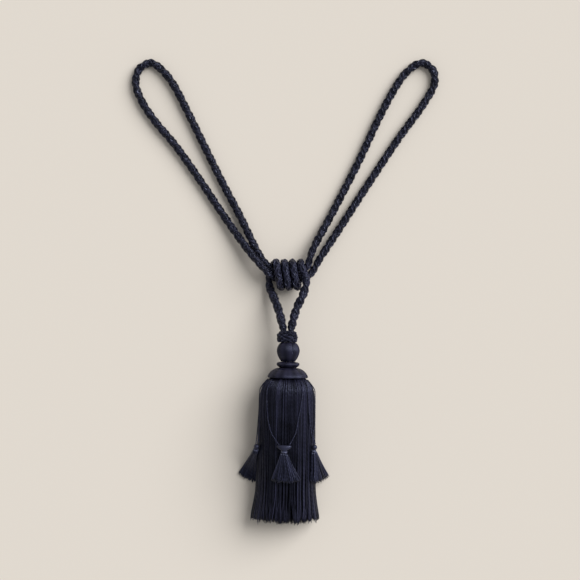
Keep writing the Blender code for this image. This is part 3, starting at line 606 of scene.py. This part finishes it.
def tassel_rope_radius(centres, travelled):
    """The legs are squeezed in the collar, full below the binding and tight in it."""
    from_end = np.minimum(travelled, travelled[-1] - travelled)
    out_of_collar = eased((from_end - FOOT_LENGTH) / FOOT_SWELLS_OVER)
    radius = blend(TASSEL_ROPE_FOOT_RADIUS, TASSEL_ROPE_RADIUS, out_of_collar)
    return radius + in_binding(centres) * (TASSEL_ROPE_BOUND_RADIUS - TASSEL_ROPE_RADIUS)


def ring_light(centres):
    """How light the ring's yarns are at each point."""
    return np.full(len(centres), RING_LIGHT)


def tassel_rope_light_with_painted_highlight(centres):
    """The tassel rope's yarns are lighter in the binding: a painted highlight on its turns."""
    return blend(LEG_LIGHT, BINDING_PAINTED_HIGHLIGHT, in_binding(centres))


def binding_point(turns):
    """A place on the binding: whole turns are at the side nearest the eyes."""
    straight = 2 * RUN_OFFSET
    arc = math.pi * TURN_RADIUS
    half = straight + arc
    share = turns % 1.0
    front = share < 0.5
    travelled = (share if front else share - 0.5) * 2 * half
    past = min(max(travelled - arc / 2, 0.0), straight)
    angle = (travelled - past) / TURN_RADIUS
    out = RUN_OFFSET - past + TURN_RADIUS * math.cos(angle)
    rise = TURN_RADIUS * math.sin(angle)
    if front:
        shift = BINDING_FRONT_SHIFT * travelled / half
    else:
        out, rise = -out, -rise
        back_shift = BINDING_PITCH - BINDING_FRONT_SHIFT
        shift = BINDING_FRONT_SHIFT + back_shift * travelled / half
    x = BINDING_FIRST_X + BINDING_PITCH * math.floor(turns) + shift
    return np.array([x, BINDING_MIDDLE_Y + out, RUN_HEIGHT + rise])


def ring_route():
    route = list(np.array(RING_ROUTE) * MM)
    route[0][0] = BUTT_X - BUTT_GAP / 2
    route[-1][0] = BUTT_X + BUTT_GAP / 2
    return route


def tassel_rope_route():
    turns = np.arange(0, LAST_TURN, 1 / POINTS_PER_TURN)
    middle = [binding_point(t) for t in turns]
    return [*np.array(LEFT_LEG) * MM, *middle, *np.array(RIGHT_LEG) * MM]


# Ropes


def plaited_rope(name, node, route, radius_at, light_at, material, chance):
    """Two-ply parts that go round the rope both ways and pass over and under each other."""
    centres, travelled = even_steps(smooth_curve(route), PLAIT_STEP)
    sides, ups = carried_frames(centres)
    radius = radius_at(centres, travelled)
    paths, outs, radii, tones = [], [], [], []
    for turning in (1, -1):
        for start in PLAIT_PARTS:
            wander = np.cumsum(chance.normal(0, YARN_WANDER, len(centres)))
            wander -= np.linspace(0, wander[-1], len(centres))
            angle = turning * (TAU * travelled / PLAIT_PITCH + math.radians(start))
            over = turning * np.cos(2 * angle)
            reach = radius * (YARN_CENTRE_SHARE + CROSSING_SHARE * over)
            shown = angle + WANDER_SHOWN * wander
            out = np.cos(shown)[:, None] * sides + np.sin(shown)[:, None] * ups
            paths.append(centres + reach[:, None] * out)
            outs.append(out)
            swell = YARN_SWELL * np.sin(travelled / SWELL_LENGTH + start)
            radii.append(radius * YARN_SHARE * (1 + swell))
            # For the tassel rope, light_at also gives the binding's painted highlight
            tones.append(chance.uniform(0.0, MOST_TONE) * light_at(centres))
    # The core tube takes the darkest tone: painted shade in the gaps between the yarns
    paths.append(centres)
    outs.append(ups)
    radii.append(radius * ROPE_CORE_SHARE)
    tones.append(0.0 * travelled)
    paths, outs, radii = np.array(paths), np.array(outs), np.array(radii)
    made = tubes(name, node, paths, outs, radii, YARN_SIDES, tones, material, ROPE_TWIST)


# Skirt surface


def section_curve(section):
    """A section's outline as dense (across, height) points and the share of its length at each.

    It starts at the top and goes round by the right side, the bottom and the left side.
    """
    half_width, top, widest_at, bottom, flat_share = section
    flat = flat_share * half_width
    right = []
    for angle in np.linspace(0, math.pi / 2, 60, endpoint=False):
        height = widest_at + (top - widest_at) * math.cos(angle)
        right.append((half_width * math.sin(angle), height))
    for angle in np.linspace(0, math.pi / 2, 40):
        across = flat + (half_width - flat) * math.cos(angle)
        right.append((across, widest_at - (widest_at - bottom) * math.sin(angle)))
    right.append((0.0, bottom))
    left = [(-across, height) for across, height in reversed(right[:-1])]
    points = np.array(right + left)
    lengths = np.linalg.norm(np.diff(points, axis=0), axis=1)
    shares = np.concatenate([[0.0], np.cumsum(lengths)])
    return points, shares / shares[-1]


def resampled(section):
    """A section's outline at even shares of its length."""
    points, shares = section_curve(section)
    even = np.linspace(0.0, 1.0, OUTLINE_POINTS)
    return np.stack([np.interp(even, shares, points[:, axis]) for axis in (0, 1)], axis=-1)


SECTION_STATIONS = np.array([row[0] for row in SKIRT_SECTIONS]) * MM
SECTION_LOOPS = np.array(
    [resampled([*(v * MM for v in row[1:5]), row[5]]) for row in SKIRT_SECTIONS]
)


def outline_at(along):
    """The skirt's outline at a distance down it, as (across, height) points from the top round."""
    along = min(max(along, SECTION_STATIONS[0]), SECTION_STATIONS[-1])
    above = max(int(np.searchsorted(SECTION_STATIONS, along)), 1)
    low, high = SECTION_STATIONS[above - 1], SECTION_STATIONS[above]
    share = (along - low) / (high - low)
    return SECTION_LOOPS[above - 1] * (1 - share) + SECTION_LOOPS[above] * share


def outside_skirt(across, along, height, gap):
    """The place itself, or the nearest one that is the gap away from the skirt.

    A height of None stands for the skirt's upper face.
    """
    outline = outline_at(along)
    upper = outline[outline[:, 1] > outline[np.argmax(outline[:, 0]), 1]]
    upper = upper[np.argsort(upper[:, 0])]
    beside = abs(across) >= upper[-1, 0]
    if not beside:
        surface = np.interp(across, upper[:, 0], upper[:, 1])
        height = surface if height is None else max(height, surface)
    if height is None:
        height = outline[np.argmax(outline[:, 0]), 1]
    here = np.array([across, height])
    starts, steps = outline[:-1], np.diff(outline, axis=0)
    lengths = np.linalg.norm(steps, axis=1)
    along_step = ((here - starts) * steps).sum(axis=1) / lengths**2
    feet = starts + steps * np.clip(along_step, 0.0, 1.0)[:, None]
    nearest = int(np.argmin(np.linalg.norm(feet - here, axis=1)))
    outward = np.array([-steps[nearest, 1], steps[nearest, 0]]) / lengths[nearest]
    away = (here - feet[nearest]).dot(outward)
    if away < gap:
        here = here + outward * (gap - away)
    return np.array([here[0], along, here[1]])


def row_outside_skirt(row, gap):
    """The same for a table's row of across, along and, where it has one, height."""
    across, along, height = (*(value * MM for value in row), None)[:3]
    return outside_skirt(across, along, height, gap)


def smooth_table(positions, values, wanted):
    """Values of a smooth curve through a short table that never overshoots its rows."""
    steps = np.diff(positions)
    rises = np.diff(values) / steps
    slopes = np.concatenate([rises[:1], np.zeros(len(steps) - 1), rises[-1:]])
    for k in range(1, len(steps)):
        if rises[k - 1] * rises[k] > 0:
            before, after = 2 * steps[k] + steps[k - 1], steps[k] + 2 * steps[k - 1]
            slopes[k] = (before + after) / (before / rises[k - 1] + after / rises[k])
    wanted = np.clip(wanted, positions[0], positions[-1])
    above = np.clip(np.searchsorted(positions, wanted), 1, len(positions) - 1)
    low, high = positions[above - 1], positions[above]
    width = high - low
    t = (wanted - low) / width
    start, end = values[above - 1], values[above]
    return (
        (2 * t**3 - 3 * t**2 + 1) * start
        + (t**3 - 2 * t**2 + t) * width * slopes[above - 1]
        + (3 * t**2 - 2 * t**3) * end
        + (t**3 - t**2) * width * slopes[above]
    )


FLOW_ROWS = 61
FLOW_START = -1.0 * MM
FLOW_END = 176.0 * MM


def flow_grid():
    """Outlines of the skirt at even distances down it, rounded between the sections."""
    downs = np.linspace(FLOW_START, FLOW_END, FLOW_ROWS)
    columns = np.array(SKIRT_SECTIONS, float)
    tables = [smooth_table(SECTION_STATIONS, columns[:, k], downs) for k in range(1, 6)]
    loops = []
    for values in zip(*tables):
        half_width, top, widest_at, bottom = (v * MM for v in values[:4])
        bottom, flat_share = max(bottom, 0.0), max(values[4], 0.0)
        loops.append(resampled([half_width, top, widest_at, bottom, flat_share]))
    return np.array(loops)


FLOW = flow_grid()


def on_flow(share, scale, along):
    """Across and height in the skirt at a share of the way round, scaled to its middle."""
    row = np.clip((along - FLOW_START) / (FLOW_END - FLOW_START), 0, 1) * (FLOW_ROWS - 1)
    found = from_grid(FLOW, row, (share % 1.0) * (OUTLINE_POINTS - 1))
    row_low = np.minimum(row.astype(int), FLOW_ROWS - 2)
    middle = (FLOW[row_low, 0, 1] + FLOW[row_low, (OUTLINE_POINTS - 1) // 2, 1]) / 2
    return found[..., 0] * scale, middle + (found[..., 1] - middle) * scale


def parting_shift(share):
    """How far a share of the way round moves from the partings at the hem."""
    moved = np.zeros_like(share)
    for at, reach in PARTINGS:
        away = (share - at + 0.5) % 1.0 - 0.5
        moved += np.sign(away) * reach * np.exp(-np.abs(away) / PARTING_REACH)
    return moved


# Skirt threads


def waves(size, fewest, most, shown, count, chance):
    """A slow random wave along each thread."""
    swing = chance.normal(0, size, (count, 1))
    turns, phase = chance.uniform(fewest, most, (count, 1)), chance.uniform(0, TAU, (count, 1))
    return swing * np.sin(shown * turns + phase)


def skirt_threads(name, count, scales, radius, start, points, light, material, chance):
    """Threads in the skirt from a distance down it to the hem, gathered a little into locks."""
    share = (np.arange(count) + chance.uniform(-0.5, 0.5, count)) / count
    scale = chance.uniform(scales[0], scales[1], count)
    lock = (share * LOCKS).astype(int) % LOCKS
    shifts = chance.uniform(-LOCK_SHIFT, LOCK_SHIFT, LOCKS)
    centre = (np.floor(share * LOCKS) + 0.5 + shifts[lock]) / LOCKS
    lock_length = chance.normal(0, LOCK_LENGTH_SPREAD, LOCKS)[lock]
    side = np.sin(TAU * share)
    end = HEM_ALONG - HEM_ROUND * side**4 + lock_length
    end += chance.normal(0, THREAD_LENGTH_SPREAD, count)
    stray = chance.uniform(0, 1, count) < STRAY_SHARE
    end = end - ABOVE_HEM + stray * chance.exponential(STRAY_LENGTH, count)
    down = np.linspace(0, 1, points)
    along = start + (end[:, None] - start) * down
    shown = along / HEM_ALONG
    gather = GATHERED_SHARE * eased((shown - GATHER_START) / GATHER_LENGTH)
    spread = eased((shown - SPREAD_START) / SPREAD_LENGTH)
    swing = waves(THREAD_SWING, 3, 8, shown, count, chance)
    flare = chance.normal(0, THREAD_FLARE, (count, 1)) * np.clip(shown - FLARE_START, 0, 1)
    flare = flare / FLARE_LENGTH
    path_share = share[:, None] + (centre - share)[:, None] * gather * (1 - 0.5 * spread)
    path_share = path_share + parting_shift(share)[:, None] * spread + swing + flare
    lift = waves(THREAD_LIFT, 3, 9, shown, count, chance)
    path_scale = np.minimum(scale[:, None] + lift, MOST_SCALE)
    across, height = on_flow(path_share, path_scale, along)
    paths = place(across, along, np.maximum(height, radius + 0.1 * MM))
    outs = unit(paths - place(0.0, along, AXIS_HEIGHT * 0.8))
    radii = np.full((count, points), radius) * chance.uniform(*RADIUS_SPREAD, (count, 1))
    radii[stray] *= STRAY_RADIUS_SHARE
    radii[:, -1] *= END_RADIUS_SHARE
    # Random tones, times each layer's lightness (painted shade on the deeper layers) and the
    # skirt's painted light and shade
    tones = (chance.beta(0.45, 1.5, count) * 1.9 * light)[:, None]
    tones = tones * skirt_painted_light_and_shade(path_share, shown)
    tubes(name, "skirt", paths, outs, radii, THREAD_SIDES, tones, material, SKIRT_TWIST)


def skirt_painted_light_and_shade(share, shown):
    """How light the threads are at a share of the way round and of the way down: a painted
    highlight on the shoulder that faces the light, darker in the middle, lighter again towards the
    hem, and the painted light and shade places.
    """
    away = (share + 0.5) % 1.0 - 0.5
    found = 1.9 - 1.35 * eased((shown - 0.1) / 0.3) + 0.7 * eased((shown - 0.68) / 0.25)
    for at, width, first, last, change in PAINTED_LIGHT_AND_SHADE_PLACES:
        near = np.exp(-(((away - at) / width) ** 2))
        down = eased((shown - first) / 0.08) * eased((last - shown) / 0.08)
        found *= 1 + change * near * down
    return np.maximum(found, 0.0)


def skirt_core(material):
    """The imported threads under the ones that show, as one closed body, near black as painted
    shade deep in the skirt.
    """
    count, rows = 180, 30
    along = np.linspace(THREAD_TOP, CORE_END, rows)[:, None]
    share = np.arange(count) / count
    scale = CORE_SCALE - CORE_GROOVE * (np.arange(count) % 2)
    across, height = on_flow(*np.broadcast_arrays(share, scale, along))
    points = place(across, along, height).reshape(-1, 3)
    mesh_object("skirt_core", "skirt", points, closed_wall(rows, count), material)


# Head


def covered_piece(name, node, profile, ridges, material, seam=None):
    """A turned piece covered with threads that run from end to end of its profile."""
    profile = [(along * MM, radius * MM, 0.0) for along, radius in profile]
    dense, _ = even_steps(smooth_curve(profile), PROFILE_STEP)
    sides = 4 * ridges
    angle = TAU * np.arange(sides) / sides
    wave = RIDGE_DEPTH * np.cos(ridges * angle)
    vertices = []
    for along, radius, _ in dense:
        fade = min(1.0, radius / (6 * MM))
        reach = radius + wave * fade
        if seam:
            at, width, groove, until = seam
            away = np.abs((angle - at + math.pi) % TAU - math.pi) * radius
            ends = eased((until - along) / SEAM_FADES_OVER)
            reach -= groove * np.exp(-((away / width) ** 2)) * ends
        vertices.append(place(reach * np.sin(angle), along, AXIS_HEIGHT + reach * np.cos(angle)))
    rows = len(dense)
    faces, uvs = [], []
    for row in range(rows - 1):
        for k in range(sides):
            low, after = row * sides + k, row * sides + (k + 1) % sides
            faces.append((low, low + sides, after + sides, after))
            left, right = k / 4, (k + 1) / 4
            uvs += [(left, row), (left, row + 1), (right, row + 1), (right, row)]
    faces.append(tuple(range(sides)))
    faces.append(tuple(reversed(range((rows - 1) * sides, rows * sides))))
    uvs += [(0.0, 0.0)] * (2 * sides)
    points = np.concatenate(vertices)
    tones = 0.5 + 0.6 * np.sin(np.floor(np.arange(sides) / 4) * TONE_STEP)
    mesh_object(name, node, points, faces, material, uvs, np.tile(tones, rows))


def oval(half_span, radius, angle):
    """Points of a round-ended slot's outline: across, and height above the axis."""
    return half_span * np.tanh(4 * np.cos(angle)) + radius * np.cos(angle), radius * np.sin(angle)


def on_collar(reach, angle, along):
    """World places round the collar, and the way out from its axis at each."""
    across, height = oval(COLLAR_HALF_SPAN, reach, angle)
    path = place(across + COLLAR_SHIFT, along, AXIS_HEIGHT + height)
    return path, unit(path - place(COLLAR_SHIFT, along, AXIS_HEIGHT))


def collar(material, chance):
    """A net of thin cords with knots on it, over the foot of both legs."""
    table = np.array(COLLAR_ROWS) * MM
    rows, sides = 14, 48
    along = np.linspace(table[0, 0], table[-1, 0], rows)
    outer = smooth_table(table[:, 0], table[:, 1], along) - COLLAR_CORE_SUNK
    outer = np.maximum(outer, COLLAR_CORE_RADIUS)
    angle = TAU * np.arange(sides) / sides
    rings = [on_collar(outer[row], angle, along[row])[0] for row in range(rows)]
    rings += [on_collar(COLLAR_INNER_RADIUS, angle, a)[0] for a in along[::-1]]
    faces = []
    for row in range(2 * rows):
        for k in range(sides):
            low, high = row * sides, (row + 1) % (2 * rows) * sides
            after = (k + 1) % sides
            faces.append((low + k, low + after, high + after, high + k))
    mesh_object("collar_core", "leg_collar", np.concatenate(rings), faces, material)

    down = np.linspace(0, 1, NET_POINTS)
    along = table[0, 0] + NET_START + (table[-1, 0] - table[0, 0] - NET_SHORTER) * down
    half = smooth_table(table[:, 0], table[:, 1], along)
    shut = 1 - eased(np.minimum(down, 1 - down) / NET_SHUTS_OVER)
    placed, tones = [], []
    for turning in (1, -1):
        for k in range(NET_CORDS):
            turn = TAU * k / NET_CORDS + turning * NET_TURN * down + chance.uniform(-0.08, 0.08)
            over = turning * np.cos(NET_CORDS * turn)
            reach = half - NET_SUNK + NET_WEAVE * over - NET_DRAWN_IN * shut
            placed.append(on_collar(reach, turn, along))
            tones.append(chance.uniform(0.2, 1.0))
    paths, outs = (np.array(values) for values in zip(*placed))
    radii = np.full(paths.shape[:2], NET_RADIUS)
    tubes("collar_net", "leg_collar", paths, outs, radii, 6, tones, material, NET_TWIST)

    placed, tones = [], []
    for row, at in enumerate(KNOT_ROWS):
        for k in range(NET_CORDS):
            turn = TAU * (k + 0.5 * (row % 2)) / NET_CORDS + chance.uniform(-0.12, 0.12)
            lean = KNOT_LEAN if (k + row) % 2 else -KNOT_LEAN
            along = (at + KNOT_HALF_LENGTH * KNOT_SPOTS) * MM
            reach = smooth_table(table[:, 0], table[:, 1], along) - KNOT_SUNK
            reach += (KNOT_ARCH * (1 - KNOT_SPOTS**2) + chance.uniform(-0.4, 0.8)) * MM
            placed.append(on_collar(reach, turn + lean * KNOT_SPOTS, along))
            tones.append(chance.uniform(0.3, 1.6))
    paths, outs = (np.array(values) for values in zip(*placed))
    radii = np.tile(KNOT_RADIUS * (1 - 0.4 * KNOT_SPOTS**2), (len(paths), 1))
    tubes("collar_knots", "leg_collar", paths, outs, radii, 8, tones, material, KNOT_TWIST)


# Small tassels and hangers


def through_three(places, share):
    """A place and its sideways direction on the curve through three places, share from -1 to 1."""
    first, middle, last = places
    bend = (first + last) / 2 - middle
    slope = (last - first) / 2
    return middle + share * slope + share * share * bend, slope + 2 * share * bend


def settled_row(tassel, row):
    """The three table places of the neck or the hem, in metres and clear of the skirt."""
    gap = NECK_GAP if row == "neck" else REST_GAP
    return [row_outside_skirt(values, gap) for values in tassel[row]]


def fan_place(tassel, spread, down, level):
    """A place in a small tassel: across its width, down its length and up its thickness."""
    neck = settled_row(tassel, "neck")
    hem = settled_row(tassel, "hem")
    top, top_side = through_three(neck, spread)
    low, low_side = through_three(hem, spread)
    here = blend(top, low, down)
    here[2] = blend(top[2], low[2], min(1.0, down / tassel["settled"]))
    side = blend(top_side, low_side, down)
    out = np.cross(hem[1] - neck[1], side)
    out /= math.copysign(np.linalg.norm(out), out[2])
    here = outside_skirt(*here, blend(NECK_GAP, REST_GAP, min(1.0, 2 * down)))
    thickness = blend(SMALL_THICKNESS_AT_NECK, SMALL_THICKNESS_AT_HEM, down)
    return here + out * level * thickness, side / np.linalg.norm(side), out


def neck_frame(tassel):
    """The middle of a small tassel's neck, with its sideways, outward and downward directions."""
    middle, side, out = fan_place(tassel, 0.0, 0.0, 0.5)
    run = np.cross(side, out)
    return middle, side, out, math.copysign(1.0, run[1]) * run / np.linalg.norm(run)


def world_way(vector):
    """A direction of the tassel's own frame as a world direction."""
    return place(*vector) - place(0.0, 0.0, 0.0)


def fan_threads(kind, tassel, material, chance):
    """The threads of a small tassel, spread from its neck to its hem."""
    spreads, downs, levels = np.linspace(-1, 1, 9), np.linspace(0, 1, 7), (0.0, 1.0)
    grid = np.array(
        [[[fan_place(tassel, s, d, v)[0] for v in levels] for d in downs] for s in spreads]
    )
    count, points = SMALL_THREADS, SMALL_THREAD_POINTS
    spread = chance.uniform(-1, 1 + tassel.get("tucked", 0.0), count)
    level = chance.beta(1.0, 0.8, count)
    down = np.linspace(0, 1, points) * chance.normal(1.0, 0.025, (count, 1))
    wave = waves(0.05, 3, 7, down, count, chance)
    flare = chance.normal(0, 0.07, (count, 1)) * down**2
    shown = np.maximum(spread[:, None] * (0.94 + 0.06 * down) + (wave + flare) * down, -1.06)
    column = (shown + 1) / 2 * (len(spreads) - 1)
    row = np.clip(down * (len(downs) - 1), 0, len(downs) - 1.001)
    sheet = from_grid(grid, column, row)
    beyond = np.maximum(down - 1, 0)[..., None]
    up = level[:, None, None]
    local = sheet[:, :, 0] * (1 - up) + sheet[:, :, 1] * up
    local += beyond * (grid[4, -1, 0] - grid[4, 0, 0])
    paths = place(local[..., 0], local[..., 1], np.maximum(local[..., 2], LEAST_HEIGHT))
    outs = np.broadcast_to(unit(world_way(fan_place(tassel, 0.0, 0.5, 0.5)[2])), paths.shape)
    radii = np.full((count, points), SMALL_THREAD_RADIUS)
    radii *= chance.uniform(*RADIUS_SPREAD, (count, 1))
    radii[:, -1] *= 0.55
    tones = chance.beta(0.9, 1.5, count) * 1.25
    node = "small_tassel_" + kind
    name = node + "_threads"
    tubes(name, node, paths, outs, radii, THREAD_SIDES, tones, material, SMALL_THREAD_TWIST)


def small_head(kind, tassel, material, wrap_material):
    """The bound head and neck of a small tassel, with turns of thread round its neck."""
    middle, side, out, run = neck_frame(tassel)
    middle = place(*middle)
    side, out, run = world_way(side), world_way(out), world_way(run)
    table = np.array([(0.0, 2.9, 2.4)] + list(SMALL_HEADS[tassel["head"]])) * MM
    backs = np.linspace(table[0, 0], table[-1, 0], HEAD_ROWS)
    angle = TAU * np.arange(HEAD_SIDES) / HEAD_SIDES
    ridge = 1 + 0.035 * np.cos(HEAD_RIDGES * angle)

    def sizes(back):
        return [smooth_table(table[:, 0], table[:, column], back) for column in (1, 2)]

    vertices = []
    for back, wide, thick in zip(backs, *sizes(backs)):
        ring = middle - run * back
        ring = ring + np.outer(ridge * np.cos(angle) * wide, side)
        ring = ring + np.outer(ridge * np.sin(angle) * thick, out)
        vertices.append(ring)
    faces = closed_wall(HEAD_ROWS, HEAD_SIDES)
    tones = 0.6 + 0.4 * np.sin(np.floor(angle * HEAD_RIDGES / TAU) * TONE_STEP)
    tones = np.tile(tones, HEAD_ROWS)
    node = "small_tassel_" + kind
    mesh_object(node + "_head", node, np.concatenate(vertices), faces, material, tones=tones)

    # The turns use the lighter wrap thread: a painted highlight on the neck
    angle = np.linspace(0, TAU * WRAP_TURNS, WRAP_STEPS)
    back = WRAP_START + WRAP_LENGTH * np.linspace(0, 1, WRAP_STEPS)
    wide, thick = (size + WRAP_LIFT for size in sizes(back))
    centres = middle - np.outer(back, run)
    away = np.outer(np.cos(angle) * wide, side) + np.outer(np.sin(angle) * thick, out)
    path, outs = (centres + away)[None], unit(away)[None]
    radii = np.full((1, WRAP_STEPS), WRAP_RADIUS)
    tubes(node + "_wrap", node, path, outs, radii, 6, [1.0], wrap_material, WRAP_TWIST)


def hanger(name, route, material):
    """A thin cord of two plies along a route of world places."""
    centres, travelled = even_steps(smooth_curve(route), HANGER_STEP)
    sides, ups = carried_frames(centres)
    paths, outs = [], []
    for ply in (0.0, math.pi):
        angle = TAU * travelled / HANGER_LAY + ply
        out = np.cos(angle)[:, None] * sides + np.sin(angle)[:, None] * ups
        paths.append(centres + out * PLY_OFFSET)
        outs.append(out)
    paths, outs, radii = np.array(paths), np.array(outs), np.full((2, len(centres)), PLY_RADIUS)
    made = tubes(name + "_cord", name, paths, outs, radii, 6, [0.7, 0.9], material, PLY_TWIST)


def hanger_route(name):
    gap = HANGER_GAP + HANGER_RADIUS
    kind, aside, rows = HANGERS[name]
    places = [place(*row_outside_skirt(row, gap)) for row in rows]
    tassel = SMALL_TASSELS[kind]
    middle, side, _, run = neck_frame(tassel)
    head_end = SMALL_HEADS[tassel["head"]][-1][0] * MM + 3 * PIECE_GAP
    places.append(place(*(middle - run * head_end + side * aside * MM)))
    return places


# Materials


def math_node(material, operation, *inputs):
    """The output of a math node, whose inputs are numbers or outputs of other nodes."""
    node = material.node_tree.nodes.new("ShaderNodeMath")
    node.operation = operation
    for socket, given in zip(node.inputs, inputs):
        if isinstance(given, float):
            socket.default_value = given
        else:
            material.node_tree.links.new(given, socket)
    return node.outputs[0]


def yarn_material(name):
    """Dyed thread: a tone for each thread or point, which on the skirt and the binding also holds
    painted light and shade, uneven dye, and its twist as fine raised stripes.
    """
    _, dark, light, (roughness, gloss, sheen, plies, bump) = YARNS[name]
    material = bpy.data.materials.new(name)
    material.use_nodes = True
    nodes, links = material.node_tree.nodes, material.node_tree.links
    shader = nodes["Principled BSDF"]
    shader.inputs["Roughness"].default_value = roughness
    shader.inputs["Specular IOR Level"].default_value = gloss
    shader.inputs["Specular Tint"].default_value = SPECULAR_TINT
    shader.inputs["Sheen Weight"].default_value = sheen
    shader.inputs["Sheen Roughness"].default_value = SHEEN_ROUGHNESS
    shader.inputs["Sheen Tint"].default_value = SHEEN_TINT

    tone = nodes.new("ShaderNodeAttribute")
    tone.attribute_name = "tone"
    places = nodes.new("ShaderNodeTexCoord")
    noise = nodes.new("ShaderNodeTexNoise")
    noise.inputs["Scale"].default_value = DYE_SCALE
    noise.inputs["Detail"].default_value = DYE_DETAIL
    links.new(places.outputs["Object"], noise.inputs["Vector"])
    own = math_node(material, "MULTIPLY_ADD", tone.outputs["Fac"], TONE_SHARE, TONE_SHIFT)
    mix = nodes.new("ShaderNodeMix")
    mix.data_type = "RGBA"
    mix.inputs[6].default_value = (*dark, 1.0)
    mix.inputs[7].default_value = (*light, 1.0)
    dye = math_node(material, "MULTIPLY_ADD", noise.outputs["Fac"], DYE_SHARE, own)
    links.new(dye, mix.inputs[0])
    links.new(mix.outputs[2], shader.inputs["Base Color"])

    uv = nodes.new("ShaderNodeUVMap")
    uv.uv_map = "thread"
    parts = nodes.new("ShaderNodeSeparateXYZ")
    links.new(uv.outputs["UV"], parts.inputs["Vector"])
    slant = math_node(material, "MULTIPLY_ADD", parts.outputs["X"], plies, parts.outputs["Y"])
    wave = math_node(material, "COSINE", math_node(material, "MULTIPLY", slant, TAU))
    raised = nodes.new("ShaderNodeBump")
    raised.inputs["Distance"].default_value = bump
    raised.inputs["Strength"].default_value = TWIST_STRENGTH
    links.new(wave, raised.inputs["Height"])
    links.new(raised.outputs["Normal"], shader.inputs["Normal"])
    return material


def ground_material():
    material = bpy.data.materials.new("pale_ground")
    material.use_nodes = True
    shader = material.node_tree.nodes["Principled BSDF"]
    shader.inputs["Base Color"].default_value = GROUND_COLOUR
    shader.inputs["Roughness"].default_value = 0.95
    shader.inputs["Specular IOR Level"].default_value = 0.1
    return material


# Picture


def make_camera():
    data = bpy.data.cameras.new("camera")
    data.sensor_width = SENSOR_WIDTH
    data.lens = SENSOR_WIDTH * CAMERA_HEIGHT / (PICTURE_WIDTH * GROUND_MM_PER_PIXEL * MM)
    data.clip_end = 20.0
    camera = add_object("camera", data)
    camera.location = (CAMERA_X, CAMERA_Y, CAMERA_HEIGHT)
    bpy.context.scene.camera = camera


def make_ground():
    half = GROUND_HALF_SIZE
    mesh = bpy.data.meshes.new("ground")
    corners = [(-half, -half, 0), (half, -half, 0), (half, half, 0), (-half, half, 0)]
    mesh.from_pydata(corners, [], [(0, 1, 2, 3)])
    mesh.materials.append(ground_material())
    add_object("ground", mesh)


def make_lights():
    bpy.context.scene.view_settings.view_transform = "Standard"
    data = bpy.data.lights.new("key", "SUN")
    data.energy = KEY_STRENGTH
    data.angle = math.radians(KEY_SOFTNESS)
    data.color = (1.0, 1.0, 1.0)
    light = add_object("key", data)
    way = np.array(KEY_FROM)
    light.rotation_euler = (
        math.acos(way[2] / np.linalg.norm(way)),
        0.0,
        math.atan2(way[1], way[0]) + math.pi / 2,
    )
    world = bpy.data.worlds.new("world")
    world.use_nodes = True
    background = world.node_tree.nodes["Background"]
    background.inputs["Color"].default_value = (1.0, 1.0, 1.0, 1.0)
    background.inputs["Strength"].default_value = AMBIENT_STRENGTH
    bpy.context.scene.world = world


def main():
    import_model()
    chance = np.random.default_rng(7)
    make_camera()
    rope, satin, thread, deep, head, wrap, small, core = map(yarn_material, YARNS)

    for name, node, route, radius_at, light_at in (
        ("ring_plait", "ring_rope", ring_route(), ring_radius, ring_light),
        ("tassel_plait", "tassel_rope", tassel_rope_route(), tassel_rope_radius, tassel_rope_light_with_painted_highlight),
    ):
        plaited_rope(name, node, route, radius_at, light_at, rope, chance)
    for name in HANGERS:
        hanger(name, hanger_route(name), small)

    covered_piece("ball_cover", "head_ball", BALL_PROFILE, BALL_RIDGES, satin, BALL_SEAM)
    covered_piece("disc_cover", "head_disc", DISC_PROFILE, BALL_RIDGES, satin)
    covered_piece("cap_cover", "head_cap", CAP_PROFILE, CAP_RIDGES, satin)
    collar(rope, chance)

    for name, count, scales, radius, start, points, light, material in (
        # layer, threads, scales to the outline, radius, start, points, how light (below 1 it is
        # painted shade under the outer layer), yarn
        ("outer", 150, (0.985, 1.0), 0.58 * MM, THREAD_TOP, 30, 1.0, thread),
        ("second", 240, (0.955, 0.98), 0.52 * MM, THREAD_TOP, 26, 0.55, thread),
        ("third", 300, (0.92, 0.95), 0.55 * MM, THREAD_TOP, 20, 0.8, deep),
        ("low", 560, (0.5, 0.93), 0.55 * MM, LOW_THREAD_TOP, 6, 0.9, deep),
        ("inner", 340, (0.05, 0.5), 0.6 * MM, LOW_THREAD_TOP, 6, 0.6, deep),
    ):
        name = "skirt_threads_" + name
        skirt_threads(name, count, scales, radius, start, points, light, material, chance)
    skirt_core(core)

    for kind, tassel in SMALL_TASSELS.items():
        fan_threads(kind, tassel, small, chance)
        small_head(kind, tassel, head, wrap)

    make_ground()
    make_lights()


main()
